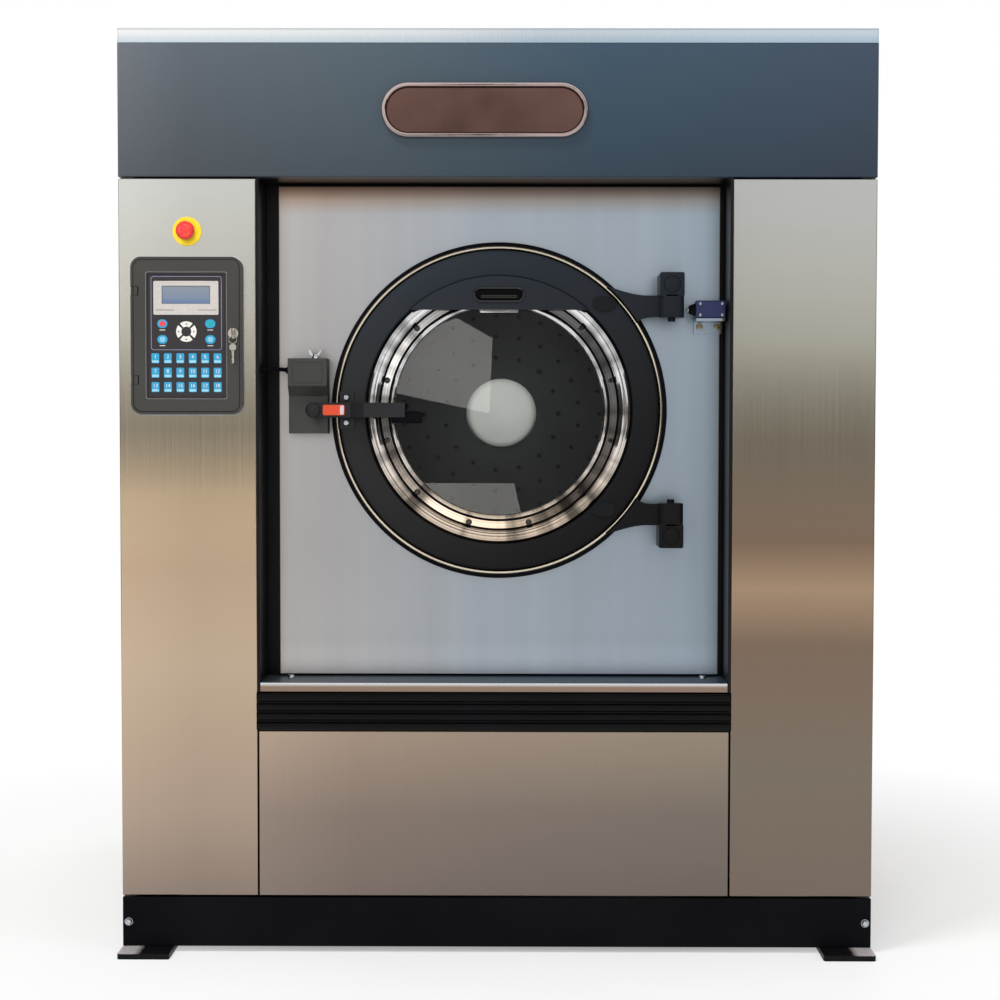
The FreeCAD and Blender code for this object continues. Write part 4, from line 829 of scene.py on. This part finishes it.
cable_r = 0.0045
cable_points = [(-0.45, -0.658, 1.245), (-0.477, -0.678, 1.249), (-0.509, -0.698, 1.245)]
cable_curve = bpy.data.curves.new("lock_lead", "CURVE")
cable_curve.dimensions = "3D"
cable_curve.bevel_depth = cable_r
cable_curve.bevel_resolution = 6
cable_curve.use_fill_caps = True
lead = cable_curve.splines.new("NURBS")
lead.points.add(len(cable_points) - 1)
for point, spot in zip(lead.points, cable_points):
    point.co = (*spot, 1.0)
lead.order_u = 3
lead.use_endpoint_u = True
cable_curve.materials.append(rubber)
cable = bpy.data.objects.new("lock_lead", cable_curve)
bpy.context.scene.collection.objects.link(cable)
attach(cable, "tub_unit")
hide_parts("lock_cable")
grommet = add_turned(bmesh.new(), [
    (0.003, 0.001), (0.0085, 0.001), (0.0085, -0.003), (0.007, -0.005), (0.0052, -0.007), (0.003, -0.007)],
    (lock.low.x, *cable_points[0][1:]), 24, axis="X")
make_piece("lead_grommet", grommet, rubber, "tub_unit", "rubber", sharp=35)


# Limit switch: a small navy die-cast housing with cover screws on a bracket bent from the plate's sheet.
# Its roller plunger is pressed by the hinge knuckle.
navy = powder_coat("navy_enamel", "#141a3c", "#1d2650", 0.3, 0.4, peel_mm=2.0)
dress("switch_housing", "limit_switch", navy, "tub_unit", "switch_plastic", ease=0.0018, sharp=35)
dress("switch_shelf", "limit_switch_bracket", plate_finish, "tub_unit", "zinc_steel", ease=0.0006, sharp=35)
dress("switch_pin", "switch_plunger", zinc, "plunger", "alu", sharp=40)
switch = box_of("limit_switch")
nose = add_turned(bmesh.new(), [
    (0.0046, -0.015), (0.008, -0.015), (0.0125, -0.005), (0.015, 0.001), (0.0046, 0.001)],
    (switch.low.x, switch.mid.y, switch.mid.z), 24, axis="X")
make_piece("switch_nose", nose, rubber, "tub_unit", "rubber", sharp=30)
cover = add_prism(bmesh.new(), rounded_box(switch.mid.x + 0.002, switch.mid.z, 0.048, 0.03, 0.003),
                  switch.low.y - 0.0015, switch.low.y + 0.0005)
make_piece("switch_cover", cover, navy, "tub_unit", "switch_plastic", ease=0.0005)
yellow_zinc = plated("yellow_zinc_plate", "#a5906a", 0.25)
shelf_low, shelf_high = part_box("limit_switch_bracket")
shelf_bolts = bmesh.new()
for x in (shelf_low.x + 0.013, shelf_high.x - 0.012):
    add_hex_bolt(shelf_bolts, (x, shelf_high.y - 0.0058, switch.low.z - 0.015), across=0.01, height=0.007)
make_piece("shelf_bolts", shelf_bolts, yellow_zinc, "tub_unit", "zinc_steel", ease=0.0004)
cover_spots = [(x, switch.low.y - 0.0012, z) for x in (switch.low.x + 0.009, switch.high.x - 0.006)
               for z in (switch.low.z + 0.007, switch.high.z - 0.007)]
cover_screws = pan_screws(cover_spots, (0, -1, 0), 0.0032, 0.002)
make_piece("switch_screws", cover_screws, zinc, "tub_unit", "zinc_steel")


# Emergency stop: a yellow plate under a threaded collar and a red mushroom head on its stem.
# Raised arrows on the head show the way it is turned to release it.
def moulded(name, shade, roughness=0.32):
    """Injection-moulded ABS: smooth and slightly cloudy."""
    return mottled(name, 14.0, 3.0, [(0.3, dimmed(shade, 0.88)), (0.7, shade)], {"Specular IOR Level": 0.45},
                   gloss=(0.0, 1.0, roughness - 0.06, roughness + 0.08))


yellow = moulded("yellow_abs", "#f0cf22", 0.38)
red = moulded("red_abs", "#e0352f", 0.3)
red_marks = moulded("red_abs_marks", "#ea5a52", 0.4)
grey_abs = moulded("grey_abs", "#5b5d60", 0.4)
stop = box_of("estop_plate")
stop_axis = (stop.mid.x, 0, stop.mid.z)
stop_y = stop.high.y
stem_r = 0.0082
collar_r = 0.0142
stop_plate = add_turned(bmesh.new(), [
    (stem_r, stop_y), (stop.radius, stop_y), (stop.radius, stop_y - 0.0022),
    (stop.radius - 0.001, stop_y - 0.003), (collar_r, stop_y - 0.003), (collar_r, stop.low.y + 0.001),
    (collar_r - 0.001, stop.low.y), (stem_r, stop.low.y)], stop_axis, 72)
second_finish(stop_plate, lambda face, middle: middle.y < stop_y - 0.0032)
make_piece("stop_plate_yellow", stop_plate, [yellow, grey_abs], "cabinet", "estop_yellow",
           replaces="estop_plate", sharp=35)
head_box = box_of("estop_head")
head_r = head_box.radius
head_y = head_box.low.y
head_back = head_box.high.y
head = add_turned(bmesh.new(), [(head_r * share, head_y + back) for share, back in (
    (0, 0), (0.45, 0.0003), (0.74, 0.0012), (0.9, 0.0032), (0.98, 0.0062), (1, 0.0095))]
    + [(head_r, head_back - 0.003), (head_r - 0.001, head_back - 0.0008), (head_r - 0.003, head_back),
       (0.0081, head_back)], stop_axis, 72, closed=False)
make_piece("stop_head_red", head, red, "stop_head", "estop_red", replaces="estop_head", sharp=40)
arrows = bmesh.new()
head_arc = partial(arc, (stop.mid.x, stop.mid.z))
for start in (20, 140, 260):
    end = start + 62
    tail = head_arc(0.0102, start, end, 10) + head_arc(0.0122, end, start, 10)
    barb = [head_arc(radius, end - 2, end, 1)[0] for radius in (0.0085, 0.0139)]
    for outline in (tail, barb + head_arc(0.0112, end, end + 20, 1)[1:]):
        add_prism(arrows, outline, head_y - 0.0003, head_y + 0.003)
make_piece("stop_arrows", arrows, red_marks, "stop_head", "estop_red")
coat_nodes(grey_abs, "estop_stem")


# Control door: a moulded frame with big round corners, hinged at its left edge over a steel box.
# A fine glossy bead runs round it, and the panel's cut edge shows bright behind it.
bezel = box_of("control_bezel")
frame_plastic = powder_coat("charcoal_abs", "#343330", "#3d3c39", 0.42, 0.25, peel_mm=2.0)
dress("control_frame", "control_bezel", frame_plastic, "control_door", "bezel_plastic", ease=0.0016, sharp=35)
tray = solid_copy("control_box")
second_finish(tray, lambda face, middle: middle.y < front_y - 0.0005)
make_piece("control_tray", tray, [zinc, frame_plastic], "cabinet", "zinc_steel", replaces="control_box",
           ease=0.0004, sharp=35)


def bezel_loop(grow, radius):
    """The control door's outline, grown by a total of grow."""
    return rounded_box(bezel.mid.x, bezel.mid.z, bezel.size.x + grow, bezel.size.z + grow, radius, 10)


bead = band(bezel_loop, bezel.low.y, (
    (-0.009, 0.0185, 0.0005), (-0.01, 0.018, -0.0009), (-0.0125, 0.0168, -0.0009), (-0.0135, 0.0163, 0.0005)))
make_piece("control_frame_bead", bead, gloss_black, "control_door", "bezel_plastic", sharp=50)
cut_edge = band(bezel_loop, front_y, (
    (0.0055, 0.02575, 0), (0.0045, 0.02525, -0.0022), (-0.012, 0.017, -0.0022), (-0.012, 0.017, 0)))
make_piece("control_cut_edge", cut_edge, chrome, "cabinet", "zinc_steel", sharp=40)
seal_loop = rounded_box(bezel.low.x + 0.01, bezel.mid.z, 0.024, bezel.size.z - 0.05, 0.003)
seal = add_prism(bmesh.new(), seal_loop, front_y - 0.0024, front_y)
make_piece("hinge_side_seal", seal, rubber, "cabinet", "rubber")
caps = bmesh.new()
for z in (bezel.low.z + 0.072, bezel.high.z - 0.072):
    cap = rounded_box(bezel.low.x + 0.0077, z, 0.0146, 0.018, 0.0015)
    add_prism(caps, cap, bezel.low.y + 0.0004, front_y - 0.002)
make_piece("hinge_caps", caps, frame_plastic, "cabinet", "bezel_plastic", ease=0.0008)


# Keypad: a dark printed film on a plate let into the frame, with a fine outline round the display part.
# The display sits behind a pale window frame.
module = box_of("keypad_plate")
film_y = module.low.y + 0.0006
dark_film = printed_film("dark_print_film", "#2b282a", 0.36)
pale_film = printed_film("pale_print_film", "#bcb5b0", 0.42)
line_film = printed_film("lilac_line_print", "#8b88a8", 0.45)
grey_lip = moulded("grey_lip_abs", "#8b8887", 0.3)


def module_loop(grow, radius=0.003):
    """The keypad's outline, grown by a total of grow."""
    return rounded_box(module.mid.x, module.mid.z, module.size.x + grow, module.size.z + grow, radius)


keypad = add_prism(bmesh.new(), module_loop(-0.0006), film_y, module.high.y)
make_piece("keypad_sheet", keypad, dark_film, "control_door", "keypad_film", replaces="keypad_plate",
           ease=0.0004)
module_edge = band(module_loop, film_y, ((0, 0.002), (0, -0.0022), (-0.008, -0.0022), (-0.01, 0.0002)))
make_piece("keypad_edge", module_edge, dark_film, "control_door", "bezel_plastic", sharp=40)
# The pale grey lip round the keypad is a painted highlight on the frame's inner edge.
lip_line = band(partial(module_loop, radius=0.0035), film_y, (
    (0.0002, 0.0005), (0.0002, -0.0026), (-0.0012, -0.0028), (-0.0022, -0.0016)))
make_piece("keypad_lip", lip_line, grey_lip, "control_door", "bezel_plastic", sharp=40)


def line_frame(x, z, width, height, radius, line, y, depth):
    """A thin raised outline with round corners."""
    outer = (width, height, radius)
    inner = (width - 2 * line, height - 2 * line, max(radius - line, 0.0005))
    return band(partial(rounded_box, x, z), y, ((*outer, depth), (*outer, 0), (*inner, 0), (*inner, depth)))


def flat_box(left, bottom, right, top):
    """Outline of a plain rectangle."""
    return [(left, bottom), (right, bottom), (right, top), (left, top)]


screen = box_of("lcd_screen")
window_top = screen.high.z + 0.01
window_h = 0.071
window_w = screen.size.x + 0.035
lap = 0.0035
left = screen.mid.x - window_w / 2 + lap
right = screen.mid.x + window_w / 2 - lap
outline_h = 0.155
outline = line_frame(module.mid.x, window_top + 0.01 - outline_h / 2, 0.149, outline_h, 0.006, 0.0011,
                     film_y - 0.0003, 0.0006)
make_piece("keypad_outline", outline, line_film, "control_door", "keypad_film")
window = line_frame(screen.mid.x, window_top - window_h / 2, window_w, window_h, 0.003, 0.004,
                    film_y - 0.0016, 0.0022)
for bar in (flat_box(left, screen.high.z, right, window_top - lap),
            flat_box(left, window_top - window_h + lap, right, screen.low.z),
            flat_box(left, screen.low.z, screen.low.x, screen.high.z),
            flat_box(screen.high.x, screen.low.z, right, screen.high.z)):
    add_prism(window, bar, film_y - 0.0012, film_y + 0.0004)
make_piece("display_frame", window, pale_film, "control_door", "keypad_film", ease=0.0003)
rules = bmesh.new()
rule_z = screen.low.z - 0.0135
for x in (screen.mid.x - 0.045, screen.mid.x + 0.045):
    add_prism(rules, flat_box(x - 0.02, rule_z, x + 0.02, rule_z + 0.001), film_y - 0.0014, film_y)
make_piece("display_rules", rules, dark_film, "control_door", "keypad_film")


def liquid_crystal():
    """A blank display: glossy blue grey that pales upwards."""
    material, add, shader, place = start_material("blank_lcd")
    share = add("MapRange", [add("SeparateXYZ", [place], out="Z"), screen.low.z, screen.high.z])
    tone = add("ValToRGB", [share], [(0.0, "#4d678f"), (0.35, "#687588"), (1.0, "#747b86")])
    set_sockets(shader, {"Base Color": tone, "Roughness": 0.12, "Specular IOR Level": 0.5})
    return material


display = add_prism(bmesh.new(), rounded_box(screen.mid.x, screen.mid.z, screen.size.x, screen.size.z, 0.001),
                    screen.low.y - 0.0003, screen.high.y)
make_piece("display_glass", display, liquid_crystal(), "control_door", "lcd", replaces="lcd_screen")
mask = line_frame(screen.mid.x, screen.mid.z, screen.size.x + 0.0004, screen.size.z + 0.0004, 0.001, 0.0016,
                  screen.low.y - 0.0008, 0.001)
make_piece("display_mask", mask, printed_film("display_mask_print", "#5a5f68"), "control_door", "lcd")


# Keys: domed film keys in three rows of six, printed blue with plain numbers, four round keys above
# and a ring of four arrow keys round a dark middle.
keys = box_of("keypad_keys")
key_y = keys.low.y
steps_across = 5.624
key_step = keys.size.x / steps_across
row_step = 0.0303
dial_z = keys.high.z - 0.0262
blue_key = printed_film("blue_key_film", "#2f92bb", 0.38)
pale_blue = printed_film("pale_blue_print", "#8fc3d6")
light_blue = printed_film("light_blue_print", "#7dbad2")
red_key = printed_film("red_key_film", "#d8444a", 0.38)
green_key = printed_film("green_key_film", "#1f9aa0", 0.38)
white_film = printed_film("white_key_film", "#dcd9d2")


def add_text(bm, words, spot, size):
    """Plain sans figures as thin raised print, facing -Y."""
    curve = bpy.data.curves.new("figure", "FONT")
    curve.body = words
    curve.size = size
    curve.align_x = "CENTER"
    curve.align_y = "CENTER"
    curve.extrude = 0.0001
    holder = bpy.data.objects.new("figure", curve)
    mesh = bpy.data.meshes.new_from_object(holder)
    start = len(bm.verts)
    bm.from_mesh(mesh)
    bm.verts.ensure_lookup_table()
    place = Matrix.Translation(spot) @ Matrix.Rotation(math.radians(90), 4, "X")
    bmesh.ops.transform(bm, matrix=place, verts=bm.verts[start:])
    bpy.data.objects.remove(holder)
    bpy.data.curves.remove(curve)
    bpy.data.meshes.remove(mesh)


number_keys = bmesh.new()
numerals = bmesh.new()
for number in range(18):
    row, col = divmod(number, 6)
    x = module.mid.x + key_step * (col - 2.5)
    z = dial_z - 0.056 - row_step * row
    add_prism(number_keys, rounded_box(x, z, 0.0165, 0.021, 0.0022), key_y, film_y, 0)
    add_prism(number_keys, rounded_box(x, z - 0.0068, 0.014, 0.005, 0.001), key_y - 0.0002, film_y, 1)
    add_text(numerals, str(number + 1), (x, key_y - 0.0001, z + 0.0028), 0.0105)
make_piece("number_keys", number_keys, [blue_key, pale_blue], "control_door", "key_print",
           replaces="keypad_keys")
round_keys = bmesh.new()
for sx, sz, film in ((-1, 1, 1), (1, 1, 2), (-1, -1, 3), (1, -1, 3)):
    x = module.mid.x + sx * 0.0505
    z = dial_z + sz * 0.0165
    add_prism(round_keys, stadium(x, z, 0.0215, 0.018, 12), key_y, film_y, 0)
    add_prism(round_keys, stadium(x, z, 0.0125, 0.0115, 12), key_y - 0.0004, film_y, film)
    add_prism(round_keys, flat_box(x - 0.006, z - 0.0138, x + 0.006, z - 0.0124), film_y - 0.0003, film_y, 4)
key_films = [blue_key, red_key, green_key, light_blue, white_film]
make_piece("round_keys", round_keys, key_films, "control_door", "key_print")
make_piece("key_numbers", numerals, white_film, "control_door", "key_print")
dial = bmesh.new()
dial_arc = partial(arc, (module.mid.x, dial_z))
for turn in (0, 90, 180, 270):
    ring_part = dial_arc(0.0215, turn + 52, turn + 128, 12) + dial_arc(0.0105, turn + 125, turn + 55, 8)
    add_prism(dial, ring_part, key_y - 0.0003, film_y, 0)
    ahead = Vector((math.cos(math.radians(turn)), math.sin(math.radians(turn))))
    aside = Vector((-ahead.y, ahead.x)) * 0.0024
    marks = [ahead * 0.0182, ahead * 0.015 + aside, ahead * 0.015 - aside]
    add_prism(dial, [(module.mid.x + m.x, dial_z + m.y) for m in marks], key_y - 0.0006, film_y, 1)
make_piece("arrow_keys", dial, [white_film, dark_film], "control_door", "key_print")


# Cam lock: a nickel plug in the frame with a flat key in it.
# A spare key hangs from it on a split ring.
nickel = polished("nickel_plate", "#cfc9bd", 0.16, smear_mm=6.0)
dress("cam_plug_and_key", "cam_lock", nickel, "key", "polished_steel", ease=0.0004, sharp=35)
cam_x = box_of("cam_lock").mid.x
ring_z = bezel.mid.z - 0.0085
spare_y = bezel.low.y - 0.0085
spare_half = 0.001
spare = add_turned(bmesh.new(), arc((0.0085, 0.0), 0.0008, 0, 330, 11), (cam_x, spare_y, ring_z), 32)
blade = [(cam_x + dx, ring_z + dz) for dx, dz in (
    (-0.0028, -0.0228), (0.0028, -0.0228), (0.0028, -0.048), (0.0, -0.051), (-0.0028, -0.048),
    (-0.001, -0.045), (-0.0028, -0.042), (-0.0012, -0.038))]
for outline in (stadium(cam_x, ring_z - 0.0165, 0.015, 0.0148, 8), blade):
    add_prism(spare, outline, spare_y - spare_half, spare_y + spare_half)
make_piece("spare_key", spare, nickel, "control_door", "polished_steel", sharp=40)


# Tub and drum: welded stainless shells seen through the glass and the open door. The drum wall and
# back are pierced all over so that water drains into the tub.
# The tub and drum steel is dull grey, darkened as painted shade for the closed drum.
inner_steel = ground_stainless("shaded_pickled_stainless", [(0.4, "#73767a"), (1.9, "#7e8184")],
                               roughness=0.4, streak=0.08)
coat_nodes(inner_steel, "outer_tub", "drum_shell", "drum_lifters")
drum = box_of("drum_shell")
sheet = 0.008
hole_dark = powder_coat("hole_shadow", "#141516", "#191a1b", 0.8, 0.1)
hole_r = 0.0045
wall_rows = 12
wall_holes = 72
edge_gap = 0.045
holes = bmesh.new()


def add_hole(centre, up, axis):
    """A pressed hole: a dark disc of painted shadow where it opens, and its raised brim, which stands up
    along an axis.
    """
    profile = [(0, 0), (hole_r, 0), (hole_r * 1.35, up * 0.0009), (hole_r * 1.6, up * -0.0002)]
    add_turned(holes, profile, centre, 10, axis, closed=False)


for row in range(wall_rows):
    y = drum.low.y + edge_gap + (drum.high.y - drum.low.y - 2 * edge_gap) * row / (wall_rows - 1)
    for k in range(wall_holes):
        angle = 360 * (k + 0.5 * (row % 2)) / wall_holes
        if min(angle % 90, 90 - angle % 90) < 9:
            continue
        outward = Vector((math.cos(math.radians(angle)), 0, math.sin(math.radians(angle))))
        start = len(holes.verts)
        add_hole((0, 0, 0), 1, "Z")
        wall_spot = Vector((door_x, y, door_z)) + outward * (drum.radius - sheet - 0.0004)
        point_along(holes, start, wall_spot, -outward)
for row in range(9):
    radius = 0.14 + 0.052 * row
    count = int(2 * math.pi * radius / 0.055)
    for k in range(count):
        turn = 2 * math.pi * (k + 0.5 * (row % 2)) / count
        x = door_x + radius * math.cos(turn)
        z = door_z + radius * math.sin(turn)
        add_hole((x, drum.high.y - sheet - sink, z), -1, "Y")
second_finish(holes, lambda face, middle: len(face.verts) == 3)
make_piece("drum_perforations", holes, [inner_steel, hole_dark], "drum", "brushed_steel")
hub_paint = powder_coat("grey_green_enamel", "#d6d8d3", "#e0e2de", 0.45, 0.3)
hub_box = box_of("hub_cover")
hub_r = hub_box.radius
hub_y = hub_box.low.y
shoulder_y = hub_y + 0.024
hub_turns = [math.pi / 2 * k / 6 for k in range(7)]
hub = add_turned(
    bmesh.new(), [(hub_r, hub_box.high.y), (hub_r, shoulder_y)]
    + [(hub_r - 0.02 + 0.019 * math.cos(t), shoulder_y - 0.018 * math.sin(t)) for t in hub_turns]
    + [(0.03, hub_y + 0.001), (0, hub_y)], door_axis, 96, closed=False)
make_piece("hub_cap", hub, hub_paint, "drum", "hub_grey", replaces="hub_cover", sharp=40)


# Works inside the cabinet: cast housing and pulley, turned shaft, motor, cradle and belt.
# They keep their solids and get the finish of their material.
cast_iron = powder_coat("cast_iron", "#3a3b3d", "#4a4b4c", 0.6, 0.4, peel_mm=4.0)
brass = plated("turned_brass", "#b3904f", 0.3)
dark_moulding = moulded("dark_moulding", "#2a2a2c", 0.45)
coat_nodes(cast_iron, "bearing_housing", "drum_pulley", "motor_rotor")
coat_nodes(zinc, "shaft_bearings", "main_shaft")
coat_nodes(grey_coat, "drive_motor", "tub_cradle", "inverter_box")
coat_nodes(dark_moulding, "drain_valve")
coat_nodes(rubber, "drive_belt")
dress("inlet_stubs", "water_inlets", brass, "cabinet", "brass", ease=0.0006, sharp=35)
dress("drain_stub", "drain_outlet", zinc, "cabinet", "zinc_steel", ease=0.0006, sharp=35)
dress("gland_nut", "cable_gland", dark_moulding, "cabinet", "bezel_plastic", ease=0.0008, sharp=35)


# Air springs: double-bellows rubber bags between zinc bead plates, on the cross beams under the cradle.
# The bags are one fixed piece, though on the machine the upper plates float with the tub.
def add_sleeve(bm, inner, outer, start, length, centre, axis):
    """A zinc ring or plate round an axis, in the second of the piece's materials."""
    end = start + length
    add_turned(bm, [(inner, start), (outer, start), (outer, end), (inner, end)], centre, 40, axis, material=1)


bag_low, bag_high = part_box("air_springs")
bag_r = 0.082
waist = 0.02
plate_r = 0.07
plate_h = (bag_high.z - bag_low.z) * 0.05
bellows_low = bag_low.z + plate_h
bellows_high = bag_high.z - plate_h
bag_steps = 48
bellows = []
for k in range(bag_steps + 1):
    share = k / bag_steps
    bulge = abs(math.sin(2 * math.pi * share)) ** 0.7
    bellows.append((bag_r - waist + waist * bulge, bellows_low + (bellows_high - bellows_low) * share))
bags = bmesh.new()
for x in (bag_low.x + bag_r, bag_high.x - bag_r):
    for y in (bag_low.y + bag_r, bag_high.y - bag_r):
        add_turned(bags, bellows, (x, y, 0), 40, axis="Z", closed=False)
        for z in (bag_low.z, bellows_high):
            add_sleeve(bags, 0, plate_r, z, plate_h, (x, y, 0), "Z")
bag_piece = make_piece("air_bags", bags, [rubber, zinc], None, "rubber", replaces="air_springs", sharp=50)
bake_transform(bag_piece)


# Hoses: a ribbed rubber drain hose from the valve to the outlet and a smooth fill hose to the nozzle.
# Zinc bands clamp their ends. The hoses are one fixed piece, though on the machine they give as the tub
# floats.
outlet = box_of("drain_outlet")
inlet = box_of("water_inlets")
hose_lap = 0.04
drain_at = (outlet.mid.x, 0, outlet.mid.z)
drain_r = outlet.radius - 0.03
wall_r = drain_r + 0.007
rib_r = drain_r + 0.012
drain_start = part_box("drain_valve")[1].y - hose_lap
drain_end = outlet.low.y + hose_lap
rib_count = 24
rib_step = (drain_end - drain_start - 2 * hose_lap) / rib_count
profile = [(drain_r, drain_start), (wall_r, drain_start), (wall_r, drain_start + hose_lap)]
for k in range(rib_count):
    y = drain_start + hose_lap + rib_step * k
    profile += [(rib_r, y + rib_step * 0.3), (rib_r, y + rib_step * 0.6), (wall_r, y + rib_step)]
profile += [(wall_r, drain_end), (drain_r, drain_end)]
hoses = add_turned(bmesh.new(), profile, drain_at, 40, closed=False)
fill_r = 0.014
fill_at = (inlet.mid.x, 0, inlet.mid.z)
fill_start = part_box("outer_tub")[1].y - hose_lap
fill_length = inlet.low.y - fill_start
fill_steps = 24
fill_line = [(fill_r, fill_start + fill_length * k / fill_steps) for k in range(fill_steps + 1)]
add_turned(hoses, fill_line, fill_at, 28, closed=False)
band_w = 0.012
for radius, centre, y in ((wall_r, drain_at, drain_start + 0.012), (wall_r, drain_at, drain_end - 0.024),
                          (fill_r, fill_at, fill_start + 0.006), (fill_r, fill_at, inlet.low.y - 0.018)):
    add_sleeve(hoses, radius - 0.0005, radius + 0.0012, y, band_w, centre, "Y")
hose_piece = make_piece("rubber_hoses", hoses, [rubber, zinc], None, "rubber", replaces="water_hoses",
                        sharp=40)
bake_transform(hose_piece)


# Studio: a pale floor that fades to white, soft lamps from the front, above and behind, and cards
# round the camera that give the polished metal a horizon and dark edges.
def white_world():
    """White where it is seen, mirrored or seen through, and weaker as light."""
    world = bpy.data.worlds.new("white_studio")
    bpy.context.scene.world = world
    world.use_nodes = True
    tree = world.node_tree
    tree.nodes.clear()
    add = partial(add_node, tree)
    shown = add("LightPath", out="Is Camera Ray")
    for ray in ("Is Glossy Ray", "Is Transmission Ray"):
        shown = add("Math", [shown, add("LightPath", out=ray)], operation="MAXIMUM")
    sky = add("Background", [(1, 1, 1, 1), add("MapRange", [shown, 0, 1, 0.35])])
    set_sockets(tree.nodes.new("ShaderNodeOutputWorld"), {"Surface": sky})


white_world()


def stage_plane(name, corners, material):
    """One flat face of the stage."""
    mesh = bpy.data.meshes.new(name)
    mesh.from_pydata(corners, [], [tuple(range(len(corners)))])
    mesh.materials.append(material)
    plane = bpy.data.objects.new(name, mesh)
    bpy.context.scene.collection.objects.link(plane)
    return plane


def show_on_surface(material, surface):
    """Gives a material another surface than its shader alone."""
    set_sockets(material.node_tree.nodes["Material Output"], {"Surface": surface})


def pale_floor():
    """Pale matt floor that takes a shadow near the machine and fades to white away from it."""
    material, add, shader, place = start_material("pale_studio_floor")
    reach = add("VectorMath", [place], out="Value", operation="LENGTH")
    fade = add("MapRange", [reach, 0.8, 2.2, 0.35])
    grain = add("TexNoise", {"Vector": place, "Scale": 1000 / 400, "Detail": 3.0})
    tone = add("ValToRGB", [grain], [(0.3, "#f4f4f4"), (0.7, "#f8f8f8")])
    set_sockets(shader, {"Base Color": tone, "Roughness": 0.8, "Specular IOR Level": 0.1})
    white = add("Emission", [(1, 1, 1, 1), 1.0])
    show_on_surface(material, add("MixShader", [fade, shader.outputs["BSDF"], white]))
    return material


def dim_card(name, patch_mm, stops, strength=1.0):
    """A card that glows evenly by itself, with broad soft patches."""
    material, add, shader, place = start_material(name)
    patch = add("TexNoise", {"Vector": place, "Scale": 1000 / patch_mm, "Detail": 2.0})
    tone = add("ValToRGB", [patch], [
        (share, [level * c for c in (1.0, 0.97, 0.93)] + [1.0]) for share, level in stops])
    show_on_surface(material, add("Emission", [tone, strength]))
    material.node_tree.nodes.remove(shader)
    return material


def add_card(name, corners, material):
    """A card that only shows in mirrors and glass."""
    card = stage_plane(name, corners, material)
    card.visible_camera = False
    card.visible_diffuse = False
    card.visible_shadow = False


stage_plane("studio_floor", [(x, y, 0) for x, y in flat_box(-12, -12, 12, 12)], pale_floor())
haze_card = dim_card("haze_card", 1500, [(0.3, 0.2), (0.7, 0.32)])
patch_card = dim_card("patch_card", 900, [(0.36, 0.1), (0.47, 0.28), (0.56, 0.75), (0.68, 1.0)])
dark_card = dim_card("dark_card", 1200, [(0.3, 0.03), (0.7, 0.1)])
murk_card = dim_card("murk_card", 1200, [(0.3, 0.11), (0.7, 0.25)])
pale_card = dim_card("pale_card", 500, [(0.3, 0.8), (0.7, 1.0)], strength=2.4)
wall = [(-0.85, 1.4), (-0.14, 1.25), (-0.12, 1.73), (-0.35, 1.86), (-0.85, 1.66)]
paving = [(-0.95, 0.45), (0.1, 0.45), (0.02, 0.8), (-0.95, 0.8)]
for name, y, outline, material in (
        ("horizon_card", -9.5, flat_box(-7, 0.75, 7, 1.5), haze_card),
        ("window_card", -9.45, flat_box(-1.2, 2.05, 0.85, 3.35), patch_card),
        ("yard_card", -9.45, flat_box(-1.2, 0.45, 0.85, 2.05), murk_card),
        ("wall_card", -9.4, wall, pale_card),
        ("paving_card", -9.4, paving, pale_card)):
    add_card(name, [(x, y, z) for x, z in outline], material)
for name, x in (("left_flag", -4.5), ("right_flag", 4.5)):
    add_card(name, [(x, y, z) for y, z in flat_box(-7.0, 0.2, -1.2, 2.6)], dark_card)
add_card("top_flag", [(x, y, 4.4) for x, y in flat_box(-2.5, -4.6, 2.5, -3.2)], dark_card)


def soft_lamp(name, spot, target, size, power, spread=180):
    """An area lamp that lights without showing in mirrors or glass."""
    lamp = bpy.data.lights.new(name, "AREA")
    lamp.shape = "RECTANGLE"
    lamp.size, lamp.size_y = size
    lamp.energy = power
    lamp.spread = math.radians(spread)
    holder = bpy.data.objects.new(name, lamp)
    holder.location = spot
    holder.rotation_euler = (Vector(target) - Vector(spot)).to_track_quat("-Z", "Y").to_euler()
    holder.visible_glossy = False
    holder.visible_transmission = False
    bpy.context.scene.collection.objects.link(holder)


soft_lamp("front_lamp", (-0.8, -7.5, 2.8), (0, -0.6, 1.1), (3.5, 2.5), 235)
soft_lamp("top_lamp", (-1.6, -2.6, 5.4), (0, -0.8, 0.9), (1.5, 1.1), 165)
soft_lamp("fill_lamp", (4.2, -3.6, 3.0), (0, -0.3, 0.9), (2.4, 2.4), 40)
soft_lamp("back_lamp", (1.0, 4.6, 4.4), (0, 0.4, 1.0), (3.0, 2.0), 110)
soft_lamp("drum_lamp", (door_x, glass_back + 0.05, door_z + 0.235), (door_x, hub_y, door_z), (0.25, 0.04),
          0.5, spread=60)


# Camera: at the photograph's distance, a little right of the middle and level with the door.
# It looks slightly down, and its lens is shifted so that upright edges stay upright.
camera_data = bpy.data.cameras.new("photo_camera")
camera_data.sensor_width = 36.0
camera_data.lens = 73.7
camera_data.shift_x = -0.0074
camera_data.shift_y = 0.0259
camera = bpy.data.objects.new("photo_camera", camera_data)
yaw = math.radians(-0.291)
pitch = math.radians(2.517)
roll = math.radians(0.086)
ahead = Vector((math.sin(yaw) * math.cos(pitch), math.cos(yaw) * math.cos(pitch), -math.sin(pitch)))
level = Vector((math.cos(yaw), -math.sin(yaw), 0.0))
above = level.cross(ahead)
right = level * math.cos(roll) + above * math.sin(roll)
up = above * math.cos(roll) - level * math.sin(roll)
turn = Matrix((right, up, -ahead)).transposed().to_4x4()
camera.matrix_world = Matrix.Translation((0.044, -5.0864, 1.1044)) @ turn
bpy.context.scene.collection.objects.link(camera)
bpy.context.scene.camera = camera
bpy.context.scene.view_settings.view_transform = "Standard"

bpy.context.view_layer.update()
